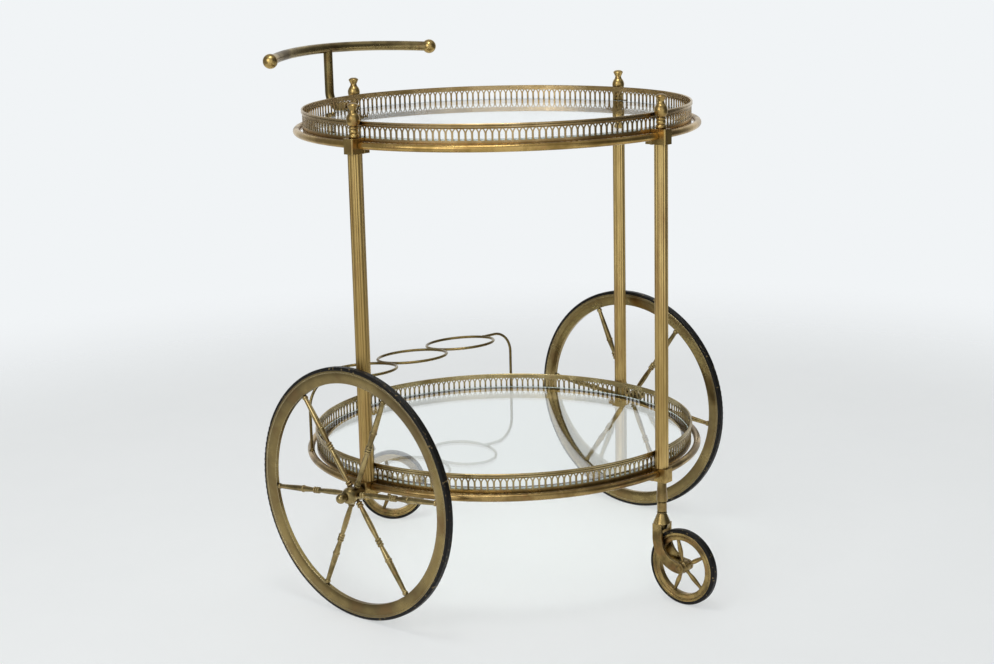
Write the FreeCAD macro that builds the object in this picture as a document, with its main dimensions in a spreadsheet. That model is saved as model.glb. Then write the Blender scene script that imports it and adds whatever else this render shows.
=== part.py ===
import FreeCAD, Part
import math
import os

import Sketcher

# Round brass bar cart: two glazed trays with pierced galleries, four fluted posts,
# two spoked side wheels on stub axles, two swivel casters, a rear handle and a bottle holder.
# Frame: origin on the floor under the middle of the footprint, +Z up, +X to the front,
# +Y to the left. Lengths are in millimetres, angles in degrees.

SIZES = {
    # Trays
    "tray_x": -13.0,
    "rail_out": 7.5,
    "rail_dia": 8.8,
    "rail_over_axle": 4.7,
    "tray_spacing": 403.2,
    "ledge_rise": 2.6,
    "ledge_thick": 3.0,
    "ledge_wide": 12.5,
    "glass_thick": 6.4,
    "glass_gap": 0.5,
    "glass_bevel": 0.8,
    "butt_gap": 0.1,
    # Pierced gallery
    "gallery_radius": 238.5,
    "strip_thick": 1.2,
    "gallery_tall": 24.0,
    "rim_tall": 5.6,
    "rim_thick": 2.4,
    "rim_ease": 0.7,
    "rim_groove_drop": 2.4,
    "rim_groove_wide": 1.0,
    "rim_groove_deep": 0.7,
    "lancet_count": 50,
    "lancet_wide": 5.2,
    "lancet_foot": 5.0,
    "lancet_tall": 13.0,
    "arch_tall": 4.6,
    "arch_bulge": 0.5,
    "spandrel_wide": 3.2,
    "spandrel_tall": 2.8,
    # Posts, blocks and finials
    "post_out": 9.5,
    "post_dia": 16.0,
    "post_bore": 12.6,
    "flute_count": 12,
    "flute_dia": 4.0,
    "flute_depth": 0.6,
    "rod_dia": 6.0,
    "rod_gap": 0.05,
    "rod_into_finial": 7.0,
    "rod_into_block": 5.7,
    "boss_wide": 14.5,
    "boss_chamfer": 1.2,
    "boss_reach": 10.7,
    "upper_boss_rise": 8.1,
    "lower_boss_rise": 7.0,
    "axle_boss_drop": 14.0,
    "block_gap": 0.1,
    "foot_drop": 9.7,
    "foot_reach": 16.0,
    "foot_wide": 17.0,
    "foot_lap": 1.5,
    "finial_tall": 39.6,
    "finial_foot_dia": 11.2,
    "finial_base_dia": 12.8,
    "finial_base_tall": 5.0,
    "finial_bead_dia": 11.4,
    "finial_bead_tall": 5.2,
    "finial_ring_dia": 12.2,
    "finial_ring_tall": 2.8,
    "finial_groove_dia": 9.4,
    "finial_bulb_dia": 15.8,
    "finial_bulb_tall": 14.0,
    "finial_neck_dia": 7.8,
    "finial_button_dia": 13.0,
    "finial_button_tall": 8.2,
    "finial_edge_drop": 2.6,
    "finial_crown_dia": 9.4,
    "finial_crown_drop": 0.85,
    "finial_tip_dia": 2.4,
    # Tray screws
    "screw_dia": 4.0,
    "screw_gap": 0.05,
    "screw_bite": 2.0,
    "screw_head_dia": 5.6,
    "screw_head_tall": 1.6,
    "screw_in": 3.3,
    # Handle
    "handle_out": 35.3,
    "handle_rise": 85.1,
    "handle_dia": 12.8,
    "handle_radius": 246.0,
    "handle_half_angle": 34.8,
    "handle_tilt": 7.0,
    "ball_dia": 18.8,
    "stem_dia": 12.0,
    "stem_rise": 7.2,
    "stem_bend": 20.0,
    "stem_gap": 0.05,
    "socket_dia": 16.6,
    "socket_long": 13.0,
    # Bottle holder
    "holder_out": 80.5,
    "holder_rise": 86.8,
    "holder_tilt": 5.0,
    "bottle_ring_radius": 45.8,
    "wire_dia": 3.6,
    "wire_gap": 0.05,
    "leg_gap": 0.25,
    "holder_leg_angle": 128.2,
    "holder_leg_bend": 30.0,
    # Side wheels
    "wheel_dia": 305.0,
    "wheel_inset": 10.0,
    "tyre_thick": 4.0,
    "tyre_wide": 9.0,
    "tyre_round": 1.8,
    "rim_radial": 15.4,
    "rim_wide": 8.4,
    "rim_edge_wide": 4.8,
    "rim_belly": 0.8,
    "flange_tall": 2.2,
    "flange_step": 0.4,
    "spoke_count": 6,
    "spoke_phase": -23.7,
    "tenon_dia": 4.0,
    "tenon_long": 3.0,
    "tenon_gap": 0.05,
    "spoke_gap": 0.1,
    "spoke_root": 10.4,
    "spoke_bead_dia": 7.9,
    "spoke_bead_tall": 3.4,
    "spoke_slim_dia": 5.0,
    "spoke_swell_dia": 6.8,
    "spoke_knot_at": 59.0,
    "spoke_collar_at": 86.0,
    "spoke_collar_dia": 8.8,
    "spoke_collar_tall": 3.0,
    "spoke_thick_dia": 7.6,
    "spoke_tip_dia": 5.4,
    "spoke_ferrule_dia": 7.2,
    "spoke_ferrule_tall": 5.0,
    "axle_dia": 8.0,
    "axle_gap": 0.05,
    "axle_bite": 13.0,
    "axle_collar_dia": 13.0,
    "axle_collar_long": 1.0,
    "axle_tip_dia": 6.0,
    "run_gap": 0.3,
    "hub_dia": 18.0,
    "hub_shoulder_dia": 14.0,
    "hub_end_dia": 11.0,
    "hub_long": 26.0,
    "hub_round_long": 10.0,
    "cap_ball_dia": 11.6,
    "cap_neck_dia": 8.6,
    "cap_neck_long": 2.4,
    "cap_bore_deep": 6.0,
    # Casters
    "caster_dia": 93.0,
    "caster_trail": 32.0,
    "front_swivel": -1.0,
    "rear_swivel": 38.0,
    "caster_tyre_thick": 3.8,
    "caster_tyre_wide": 9.0,
    "caster_tyre_round": 2.2,
    "caster_rim_radial": 9.5,
    "caster_rim_wide": 9.4,
    "caster_rim_lip": 2.2,
    "caster_rim_step": 1.6,
    "caster_hub_dia": 15.0,
    "caster_hub_wide": 14.0,
    "caster_spoke_count": 5,
    "caster_spoke_phase": 15.0,
    "caster_spoke_root_dia": 6.0,
    "caster_spoke_tip_dia": 4.2,
    "caster_pin_dia": 5.0,
    "caster_pin_gap": 0.05,
    "pin_head_dia": 7.6,
    "pin_head_tall": 2.0,
    "pin_dome_dia": 6.0,
    "pin_tip_dia": 2.4,
    "fork_wide": 21.0,
    "fork_slot": 15.0,
    "fork_leg": 13.0,
    "crown_drop": 4.5,
    "shoulder_rise": 7.0,
    "neck_rise": 13.4,
    "neck_dia": 11.0,
    "neck_groove_dia": 8.4,
    "neck_groove_tall": 1.4,
    "swivel_stem_dia": 7.0,
    "swivel_gap": 0.05,
    "swivel_headroom": 7.6,
    "nut_dia": 11.6,
    "nut_tall": 12.3,
    "nut_neck_dia": 8.8,
    "nut_neck_tall": 1.4,
    "nut_round": 1.2,
    "ferrule_top_dia": 10.5,
    "ferrule_foot_dia": 13.4,
}

DOC = FreeCAD.newDocument("bar_cart")
SHEET = DOC.addObject("Spreadsheet::Sheet", "Sizes")
PIECES = []

ALONG_X = FreeCAD.Vector(1, 0, 0)
ALONG_Y = FreeCAD.Vector(0, 1, 0)
UP = FreeCAD.Vector(0, 0, 1)


class Size:
    """A number with the expression over the sheet that gives it."""

    def __init__(self, value, text):
        self.value = value
        self.text = text

    def __add__(self, other):
        other = size(other)
        return Size(self.value + other.value, f"({self.text} + {other.text})")

    def __radd__(self, other):
        return size(other) + self

    def __sub__(self, other):
        other = size(other)
        return Size(self.value - other.value, f"({self.text} - {other.text})")

    def __rsub__(self, other):
        return size(other) - self

    def __mul__(self, other):
        other = size(other)
        return Size(self.value * other.value, f"({self.text} * {other.text})")

    def __rmul__(self, other):
        return size(other) * self

    def __truediv__(self, other):
        other = size(other)
        return Size(self.value / other.value, f"({self.text} / {other.text})")

    def __rtruediv__(self, other):
        return size(other) / self

    def __neg__(self):
        return Size(-self.value, f"(0 - {self.text})")


def size(number):
    """Return a plain number as a Size, and a Size as it is."""
    if isinstance(number, Size):
        return number
    return Size(float(number), f"({number})")


def cosine(angle):
    """Return the cosine of an angle in degrees."""
    angle = size(angle)
    return Size(math.cos(math.radians(angle.value)), f"cos({angle.text})")


def sine(angle):
    """Return the sine of an angle in degrees."""
    angle = size(angle)
    return Size(math.sin(math.radians(angle.value)), f"sin({angle.text})")


def arcsine(ratio):
    """Return the angle in degrees whose sine is the ratio."""
    return Size(math.degrees(math.asin(ratio.value)), f"asin({ratio.text}) / 1 deg")


def root(square):
    """Return the square root of a size."""
    return Size(math.sqrt(square.value), f"sqrt({square.text})")


def bearing(x, y):
    """Return the angle in degrees of the direction (x, y)."""
    return Size(math.degrees(math.atan2(y.value, x.value)), f"atan2({y.text}; {x.text}) / 1 deg")


class Sheet:
    """The driving sizes by name."""

    def __init__(self, table):
        for row, (name, value) in enumerate(table.items(), start=1):
            SHEET.set(f"A{row}", name)
            SHEET.set(f"B{row}", str(value))
            SHEET.setAlias(f"B{row}", name)
            setattr(self, name, Size(float(value), f"Sizes.{name}"))
        DOC.recompute()


S = Sheet(SIZES)

# Heights and radii that several pieces share
AXLE_Z = S.wheel_dia / 2
LOWER_RAIL_Z = AXLE_Z + S.rail_over_axle
UPPER_RAIL_Z = LOWER_RAIL_Z + S.tray_spacing
UPPER_BOSS_TOP = UPPER_RAIL_Z + S.upper_boss_rise
LOWER_BOSS_TOP = LOWER_RAIL_Z + S.lower_boss_rise
LEG_TOP = LOWER_RAIL_Z - S.foot_drop
RAIL_CIRCLE = S.gallery_radius + S.rail_out
POST_CIRCLE = S.gallery_radius + S.post_out
SCREW_CIRCLE = S.gallery_radius - S.screw_in
BOSS_FRONT = POST_CIRCLE + S.boss_reach
STRIP_INNER = S.gallery_radius - S.strip_thick
LEDGE_FOOT = S.ledge_rise - S.ledge_thick
BLOCK_BACK = S.gallery_radius + S.block_gap
FOOT_IN = POST_CIRCLE - S.foot_reach
HUB_IN = BOSS_FRONT + S.axle_collar_long + S.run_gap
HUB_OUT = HUB_IN + S.hub_long
WHEEL_PLANE = HUB_IN + S.wheel_inset
CAP_IN = HUB_OUT + S.run_gap
RIM_OUTER = S.wheel_dia / 2 - S.tyre_thick
RIM_INNER = RIM_OUTER - S.rim_radial
CASTER_RADIUS = S.caster_dia / 2
HANDLE_X = S.tray_x - BOSS_FRONT - S.handle_out
HANDLE_Z = UPPER_RAIL_Z + S.handle_rise
HOLDER_X = S.holder_out - S.gallery_radius
HOLDER_Z = LOWER_RAIL_Z + S.holder_rise
SWIVEL_TOP = LEG_TOP - S.swivel_headroom
CROWN_Z = S.caster_dia - S.crown_drop
SHOULDER_Z = CROWN_Z + S.shoulder_rise
NECK_Z = SHOULDER_Z + S.neck_rise
NUT_FOOT = NECK_Z + S.run_gap
NUT_TOP = NUT_FOOT + S.nut_tall + S.nut_neck_tall
SWIVEL_BORE = S.swivel_stem_dia + 2 * S.swivel_gap


def keep(piece, label):
    """Name a finished piece and list it for export."""
    piece.Label = label
    PIECES.append(piece)
    return piece


def place(piece, x=0, y=0, z=0, turn=0, axis=UP):
    """Set a piece's place and its turn about one axis, both bound to the sheet."""
    x, y, z, turn = size(x), size(y), size(z), size(turn)
    base = FreeCAD.Vector(x.value, y.value, z.value)
    piece.Placement = FreeCAD.Placement(base, FreeCAD.Rotation(axis, turn.value))
    for name, value in (("x", x), ("y", y), ("z", z)):
        piece.setExpression(f"Placement.Base.{name}", value.text)
    if turn.value:
        piece.setExpression("Placement.Rotation.Angle", turn.text)
    return piece


def new_body(name):
    """Start a body."""
    return DOC.addObject("PartDesign::Body", name)


def origin_part(body, role):
    """Return one of the body's origin planes or axes."""
    return next(item for item in body.Origin.OriginFeatures if item.Role == role)


def new_sketch(body, role, lift=0):
    """Start a sketch on an origin plane of the body, lifted along the plane's normal."""
    sketch = body.newObject("Sketcher::SketchObject", "Outline")
    sketch.AttachmentSupport = [(origin_part(body, role), "")]
    sketch.MapMode = "FlatFace"
    lift = size(lift)
    sketch.AttachmentOffset = FreeCAD.Placement(FreeCAD.Vector(0, 0, lift.value), FreeCAD.Rotation())
    sketch.setExpression("AttachmentOffset.Base.z", lift.text)
    return sketch


def pin_point(sketch, geometry, end, x, y):
    """Hold one end of a sketch line at a place given by the sheet."""
    for kind, value in (("DistanceX", x), ("DistanceY", y)):
        index = sketch.addConstraint(Sketcher.Constraint(kind, geometry, end, value.value))
        sketch.setExpression(f"Constraints[{index}]", value.text)


def draw(sketch, corners, closed=True):
    """Draw an outline or a path through corners whose places are bound to the sheet.

    A corner is (x, y), reached by a straight line, or (x, y, via_x, via_y), reached by an arc
    through the via point.
    """
    corners = [[size(value) for value in corner] for corner in corners]
    pairs = list(zip(corners, corners[1:] + corners[:1]))
    if not closed:
        pairs = pairs[:-1]
    ends = []
    for start, stop in pairs:
        first = FreeCAD.Vector(start[0].value, start[1].value, 0)
        last = FreeCAD.Vector(stop[0].value, stop[1].value, 0)
        if len(stop) == 2:
            ends.append((sketch.addGeometry(Part.LineSegment(first, last)), 1, 2))
            continue
        via = FreeCAD.Vector(stop[2].value, stop[3].value, 0)
        forward = (via - first).cross(last - via).z > 0
        arc = Part.Arc(first, via, last) if forward else Part.Arc(last, via, first)
        index = sketch.addGeometry(arc)
        ends.append((index, 1, 2) if forward else (index, 2, 1))
        mark = sketch.addGeometry(Part.Point(via), True)
        pin_point(sketch, mark, 1, stop[2], stop[3])
        sketch.addConstraint(Sketcher.Constraint("PointOnObject", mark, 1, index))
    for (index, tail, head), (start, stop) in zip(ends, pairs):
        pin_point(sketch, index, tail, start[0], start[1])
    joints = zip(ends, ends[1:] + ends[:1]) if closed else zip(ends, ends[1:])
    for (index, tail, head), (after, after_tail, after_head) in joints:
        sketch.addConstraint(Sketcher.Constraint("Coincident", index, head, after, after_tail))
    if not closed:
        index, tail, head = ends[-1]
        pin_point(sketch, index, head, corners[-1][0], corners[-1][1])
    return sketch


def draw_circle(sketch, x, y, dia):
    """Draw a circle whose place and diameter are bound to the sheet."""
    x, y, dia = size(x), size(y), size(dia)
    centre = FreeCAD.Vector(x.value, y.value, 0)
    index = sketch.addGeometry(Part.Circle(centre, FreeCAD.Vector(0, 0, 1), dia.value / 2))
    pin_point(sketch, index, 3, x, y)
    held = sketch.addConstraint(Sketcher.Constraint("Diameter", index, dia.value))
    sketch.setExpression(f"Constraints[{held}]", dia.text)
    return sketch


def box_corners(x0, x1, y0, y1):
    """Return the corners of an upright rectangle."""
    return [(x0, y0), (x1, y0), (x1, y1), (x0, y1)]


def pad(body, sketch, length, both_ways=False):
    """Raise a sketch into a solid."""
    feature = body.newObject("PartDesign::Pad", "Pad")
    feature.Profile = sketch
    feature.setExpression("Length", size(length).text)
    feature.Midplane = both_ways
    DOC.recompute()
    return feature


def pocket(body, sketch, length, forward=False, both_ways=False):
    """Cut a sketch into the solid, and make sure that the cut takes something away."""
    before = body.Shape.Volume
    feature = body.newObject("PartDesign::Pocket", "Pocket")
    feature.Profile = sketch
    feature.setExpression("Length", size(length).text)
    feature.Reversed = forward
    feature.Midplane = both_ways
    DOC.recompute()
    if body.Shape.Volume >= before:
        raise RuntimeError(f"a cut in {body.Name} takes nothing away")
    return feature


def revolve(body, sketch, axis="V_Axis", angle=360):
    """Turn a sketch about one of its own axes, evenly to both sides of its plane."""
    feature = body.newObject("PartDesign::Revolution", "Revolution")
    feature.Profile = sketch
    feature.ReferenceAxis = (sketch, [axis])
    feature.setExpression("Angle", size(angle).text)
    feature.Midplane = True
    DOC.recompute()
    return feature


def pattern(body, feature, role, count):
    """Repeat a feature evenly about an origin axis of its body."""
    repeat = body.newObject("PartDesign::PolarPattern", "Pattern")
    repeat.Originals = [feature]
    repeat.Axis = (origin_part(body, role), [""])
    repeat.Angle = 360
    repeat.setExpression("Occurrences", size(count).text)
    body.Tip = repeat
    DOC.recompute()
    return repeat


def turned(name, corners, role="XZ_Plane", axis="V_Axis", angle=360):
    """Make a turned piece from half of its section."""
    body = new_body(name)
    revolve(body, draw(new_sketch(body, role), corners), axis, angle)
    return body


def bent_rod(name, dia, route):
    """Make a round rod that rises from the body's origin along a route in the XZ plane."""
    body = new_body(name)
    section = draw_circle(new_sketch(body, "XY_Plane"), 0, 0, dia)
    spine = draw(new_sketch(body, "XZ_Plane"), route, closed=False)
    pipe = body.newObject("PartDesign::AdditivePipe", "Pipe")
    pipe.Profile = section
    pipe.Spine = (spine, [f"Edge{number + 1}" for number in range(len(route) - 1)])
    DOC.recompute()
    return body


def copies_about(name, master, turns, axis=UP, shift=FreeCAD.Vector()):
    """Group copies of one solid, each shifted and then turned about an axis through the origin."""
    copies = []
    for turn in turns:
        copy = master.Shape.copy()
        copy.translate(shift)
        copy.rotate(FreeCAD.Vector(), axis, turn)
        copies.append(copy)
    group = DOC.addObject("Part::Feature", name)
    group.Shape = Part.makeCompound(copies)
    return group


def ring_of(label, master, count, axis=UP, start=0, shift=FreeCAD.Vector()):
    """Make a piece that is a group of like solids, set out evenly about an axis."""
    turns = [start + 360 * number / count.value for number in range(int(count.value))]
    return keep(copies_about(label, master, turns, axis, shift), label)


def bead(start, stop, dia, crown):
    """Return the corner that ends a round bead, with its crown halfway, on a turned piece."""
    return (dia / 2, stop, crown / 2, (start + stop) / 2)


# Trays

def rail(label, height):
    """Four quarter tubes that run from block to block."""
    tube = new_body(f"{label}_quarter")
    section = draw_circle(new_sketch(tube, "XZ_Plane"), RAIL_CIRCLE, 0, S.rail_dia)
    clear = S.boss_wide / 2 + S.butt_gap
    end_angle = arcsine(clear / (RAIL_CIRCLE - S.rail_dia / 2))
    revolve(tube, section, angle=90 - 2 * end_angle)
    group = ring_of(label, tube, size(4), start=45)
    return place(group, x=S.tray_x, z=height)


def tray_ring(label, height):
    """The flat ring that carries the glass and the gallery, with its four screw holes."""
    ring = new_body(label)
    section = box_corners(S.gallery_radius - S.ledge_wide, S.gallery_radius, LEDGE_FOOT, S.ledge_rise)
    revolve(ring, draw(new_sketch(ring, "XZ_Plane"), section))
    foot = new_sketch(ring, "XY_Plane", LEDGE_FOOT)
    draw_circle(foot, SCREW_CIRCLE, 0, S.screw_dia + 2 * S.screw_gap)
    hole = pocket(ring, foot, S.screw_bite + S.screw_gap, forward=True)
    pattern(ring, hole, "Z_Axis", 4)
    return place(keep(ring, label), x=S.tray_x, z=height)


def glass(label, height):
    """The clear round pane with bevelled edges."""
    pane = new_body(label)
    edge = STRIP_INNER - S.glass_gap
    foot = S.ledge_rise
    top = foot + S.glass_thick
    section = [
        (0, foot),
        (edge - S.glass_bevel, foot),
        (edge, foot + S.glass_bevel),
        (edge, top - S.glass_bevel),
        (edge - S.glass_bevel, top),
        (0, top),
    ]
    revolve(pane, draw(new_sketch(pane, "XZ_Plane"), section))
    return place(keep(pane, label), x=S.tray_x, z=height)


def fan(name, master, count, start, pitch):
    """Group copies of a punch at an even pitch about the vertical axis."""
    turns = [start.value + number * pitch.value for number in range(int(count.value))]
    return copies_about(name, master, turns)


def punch(name, corners):
    """Make a punch that goes through the gallery's strip, from its outline."""
    body = new_body(name)
    outline = draw(new_sketch(body, "YZ_Plane", STRIP_INNER - S.strip_thick), corners)
    pad(body, outline, 3 * S.strip_thick)
    return body


def gallery_quarter():
    """A quarter of the pierced strip: pointed lancets under a solid rim with a grooved bead, and
    small three-cornered openings between the arch heads."""
    foot = S.ledge_rise
    rim_foot = foot + S.gallery_tall - S.rim_tall
    rim_top = foot + S.gallery_tall
    rim_outer = STRIP_INNER + S.rim_thick
    groove = rim_top - S.rim_groove_drop
    lip = S.rim_groove_wide / 2
    butt = arcsine(S.butt_gap / S.gallery_radius)
    strip = turned("gallery_strip", [
        (STRIP_INNER, foot),
        (S.gallery_radius, foot),
        (S.gallery_radius, rim_foot),
        (rim_outer, rim_foot + S.rim_thick - S.strip_thick),
        (rim_outer, groove - lip),
        (rim_outer - S.rim_groove_deep, groove),
        (rim_outer, groove + lip),
        (rim_outer, rim_top - S.rim_ease),
        (rim_outer - S.rim_ease, rim_top),
        (STRIP_INNER + S.rim_ease, rim_top),
        (STRIP_INNER, rim_top - S.rim_ease),
    ], angle=90 - butt)

    pitch = 90 / S.lancet_count
    half = S.lancet_wide / 2
    sill = foot + S.lancet_foot
    head = sill + S.lancet_tall
    spring = head - S.arch_tall
    middle = (spring + head) / 2
    haunch = half / 2 + S.arch_bulge
    lancet = punch("lancet_punch", [
        (-half, sill),
        (half, sill),
        (half, spring),
        (0, head, haunch, middle),
        (-half, spring, -haunch, middle),
    ])
    spandrel = punch("spandrel_punch", [
        (-S.spandrel_wide / 2, head),
        (0, head - S.spandrel_tall),
        (S.spandrel_wide / 2, head),
    ])
    lancets = fan("lancets", lancet, S.lancet_count, pitch / 2 - 45, pitch)
    spandrels = fan("spandrels", spandrel, S.lancet_count - 1, pitch - 45, pitch)
    openings = DOC.addObject("Part::Compound", "gallery_openings")
    openings.Links = [lancets, spandrels]
    pierced = DOC.addObject("Part::Cut", "gallery_quarter")
    pierced.Base = strip
    pierced.Tool = openings
    pierced.Refine = False
    DOC.recompute()
    return pierced


def gallery(label, quarter, height):
    """The pierced strip round a tray, in four quarters that butt behind the posts."""
    return place(ring_of(label, quarter, size(4), start=45), x=S.tray_x, z=height)


# Posts

def post(side, angle):
    """A fluted tube from the lower block to the upper one."""
    label = f"post_{side}"
    tube = new_body(label)
    section = draw_circle(new_sketch(tube, "XY_Plane"), 0, 0, S.post_dia)
    draw_circle(section, 0, 0, S.post_bore)
    long = S.tray_spacing - S.foot_drop - S.lower_boss_rise
    pad(tube, section, long)
    flute = new_sketch(tube, "XY_Plane")
    draw_circle(flute, (S.post_dia + S.flute_dia) / 2 - S.flute_depth, 0, S.flute_dia)
    groove = pocket(tube, flute, long, forward=True)
    pattern(tube, groove, "Z_Axis", S.flute_count)
    keep(tube, label)
    x = S.tray_x + POST_CIRCLE * cosine(angle)
    return place(tube, x=x, y=POST_CIRCLE * sine(angle), z=LOWER_BOSS_TOP, turn=angle)


def tie_rods():
    """Four rods inside the posts, which draw the finials down on the blocks."""
    rod = new_body("tie_rod")
    section = draw_circle(new_sketch(rod, "XY_Plane"), POST_CIRCLE, 0, S.rod_dia)
    foot = LOWER_BOSS_TOP - S.rod_into_block
    pad(rod, section, UPPER_BOSS_TOP + S.rod_into_finial - foot)
    return place(ring_of("tie_rods", rod, size(4)), x=S.tray_x, z=foot)


def finial(side, angle):
    """A turned finial: base bead, small bead, ring, bulb drawn in to a neck, and a flared button."""
    label = f"finial_{side}"
    bore = S.rod_dia + 2 * S.rod_gap
    groove = S.finial_groove_dia
    base_top = S.finial_base_tall
    bead_top = base_top + S.finial_bead_tall
    ring_top = bead_top + S.finial_ring_tall
    bulb_top = ring_top + S.finial_bulb_tall
    button_foot = S.finial_tall - S.finial_button_tall
    edge = S.finial_tall - S.finial_edge_drop
    crown = S.finial_tall - S.finial_crown_drop
    shoulder = (S.finial_bulb_dia + S.finial_neck_dia) / 2
    hollow = (shoulder + S.finial_neck_dia) / 2 - S.finial_neck_dia / 10
    body = turned(label, [
        (bore / 2, 0),
        (S.finial_foot_dia / 2, 0),
        bead(size(0), base_top, groove, S.finial_base_dia),
        bead(base_top, bead_top, groove, S.finial_bead_dia),
        bead(bead_top, ring_top, groove, S.finial_ring_dia),
        bead(ring_top, bulb_top, shoulder, S.finial_bulb_dia),
        (S.finial_neck_dia / 2, button_foot, hollow / 2, (bulb_top + button_foot) / 2),
        (S.finial_button_dia / 2, edge),
        (S.finial_tip_dia / 2, S.finial_tall, S.finial_crown_dia / 2, crown),
        (0, S.finial_tall),
        (0, S.rod_into_finial + S.rod_gap),
        (bore / 2, S.rod_into_finial + S.rod_gap),
    ])
    keep(body, label)
    x = S.tray_x + POST_CIRCLE * cosine(angle)
    return place(body, x=x, y=POST_CIRCLE * sine(angle), z=UPPER_BOSS_TOP, turn=angle)


# Blocks that join posts, rails and trays

def block(label, angle, height, drop, rise, rod_deep):
    """A deep boss under or over a post, from the gallery outward, with a foot under the tray
    ring."""
    body = new_body(label)
    half = S.boss_wide / 2
    back = BLOCK_BACK
    outer = BOSS_FRONT - S.boss_chamfer
    cheek = half - S.boss_chamfer
    boss = draw(new_sketch(body, "XY_Plane", -drop), [
        (back, -half),
        (outer, -half),
        (BOSS_FRONT, -cheek),
        (BOSS_FRONT, cheek),
        (outer, half),
        (back, half),
    ])
    pad(body, boss, drop + rise)
    foot = new_sketch(body, "XY_Plane", -S.foot_drop)
    draw(foot, box_corners(FOOT_IN, back + S.foot_lap, -S.foot_wide / 2, S.foot_wide / 2))
    pad(body, foot, S.foot_drop + LEDGE_FOOT)

    bore = draw_circle(new_sketch(body, "XY_Plane", rise), POST_CIRCLE, 0, S.rod_dia + 2 * S.rod_gap)
    pocket(body, bore, rod_deep)
    screw = new_sketch(body, "XY_Plane", -S.foot_drop)
    draw_circle(screw, SCREW_CIRCLE, 0, S.screw_dia + 2 * S.screw_gap)
    pocket(body, screw, S.foot_drop, forward=True)
    keep(body, label)
    return place(body, x=S.tray_x, z=height, turn=angle)


def upper_block(side, angle):
    """A block at the head of a post."""
    label = f"upper_block_{side}"
    through = S.foot_drop + S.upper_boss_rise
    return block(label, angle, UPPER_RAIL_Z, S.foot_drop, S.upper_boss_rise, through)


def lower_block(side, angle, drop):
    """A block at the foot of a post."""
    label = f"lower_block_{side}"
    deep = S.rod_into_block + S.rod_gap
    return block(label, angle, LOWER_RAIL_Z, drop, S.lower_boss_rise, deep)


def handle_socket(body):
    """Add the round socket for the handle's stem to the front of a block."""
    collar = draw_circle(new_sketch(body, "YZ_Plane", BOSS_FRONT), 0, S.stem_rise, S.socket_dia)
    pad(body, collar, S.socket_long)
    mouth = new_sketch(body, "YZ_Plane", BOSS_FRONT + S.socket_long)
    draw_circle(mouth, 0, S.stem_rise, S.stem_dia + 2 * S.stem_gap)
    pocket(body, mouth, S.socket_long)


def axle_hole(body):
    """Bore a block for its stub axle."""
    mouth = new_sketch(body, "YZ_Plane", BOSS_FRONT)
    draw_circle(mouth, 0, -S.rail_over_axle, S.axle_dia + 2 * S.axle_gap)
    pocket(body, mouth, S.axle_bite + S.axle_gap)


def tray_screws(label, height):
    """Four screws that hold a tray ring down on the feet of its blocks."""
    head = S.screw_head_tall
    long = S.foot_drop + LEDGE_FOOT + S.screw_bite
    screw = turned(f"{label}_screw", [
        (0, -head),
        (S.screw_head_dia / 3, -head),
        (S.screw_head_dia / 2, 0, S.screw_head_dia / 2 - head / 4, -3 * head / 4),
        (S.screw_dia / 2, 0),
        (S.screw_dia / 2, long),
        (0, long),
    ])
    shift = FreeCAD.Vector(SCREW_CIRCLE.value, 0, 0)
    group = ring_of(label, screw, size(4), shift=shift)
    return place(group, x=S.tray_x, z=height - S.foot_drop)


# Handle

def handle_frame(along, across):
    """Return the place of a point of the handle's tilted plane, from the centre of its arc."""
    x = HANDLE_X + cosine(S.handle_tilt) * (S.handle_radius + along)
    z = HANDLE_Z - sine(S.handle_tilt) * (S.handle_radius + along)
    return x, size(across), z


def handle():
    """A round bar bent to an arc, with a ball on each end, on a stem from the rear block."""
    bar = new_body("handle_bar")
    section = draw_circle(new_sketch(bar, "XZ_Plane"), -S.handle_radius, 0, S.handle_dia)
    revolve(bar, section, angle=2 * S.handle_half_angle)
    x, y, z = handle_frame(size(0), size(0))
    place(keep(bar, "handle_bar"), x, y, z, turn=S.handle_tilt, axis=ALONG_Y)

    seat = root(S.ball_dia * S.ball_dia - S.handle_dia * S.handle_dia) / 2
    flat = arcsine(2 * seat / S.ball_dia)
    end = S.handle_half_angle
    along = seat * sine(end) - S.handle_radius * cosine(end)
    across = S.handle_radius * sine(end) + seat * cosine(end)
    for side, sign in (("left", 1), ("right", -1)):
        label = f"handle_ball_{side}"
        ball = DOC.addObject("Part::Sphere", label)
        ball.setExpression("Radius", (S.ball_dia / 2).text)
        ball.setExpression("Angle1", (-flat).text)
        x, y, z = handle_frame(along, sign * across)
        outward = FreeCAD.Vector(math.sin(math.radians(end.value)), sign * cosine(end).value, 0)
        outward = FreeCAD.Rotation(ALONG_Y, S.handle_tilt.value).multVec(outward)
        place(ball, x, y, z)
        ball.Placement.Rotation = FreeCAD.Rotation(UP, outward)
        keep(ball, label)

    drop = S.handle_rise - S.stem_rise
    bend = S.stem_bend
    corner = bend - bend * cosine(45)
    run = S.handle_out - S.stem_gap
    stem = bent_rod("stem_tube", S.stem_dia, [
        (0, 0),
        (0, bend - drop),
        (bend, -drop, corner, corner - drop),
        (run, -drop),
    ])
    place(stem, x=HANDLE_X, z=HANDLE_Z)
    coped = DOC.addObject("Part::Cut", "handle_stem")
    coped.Base = stem
    coped.Tool = bar
    keep(coped, "handle_stem")


# Bottle holder

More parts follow.
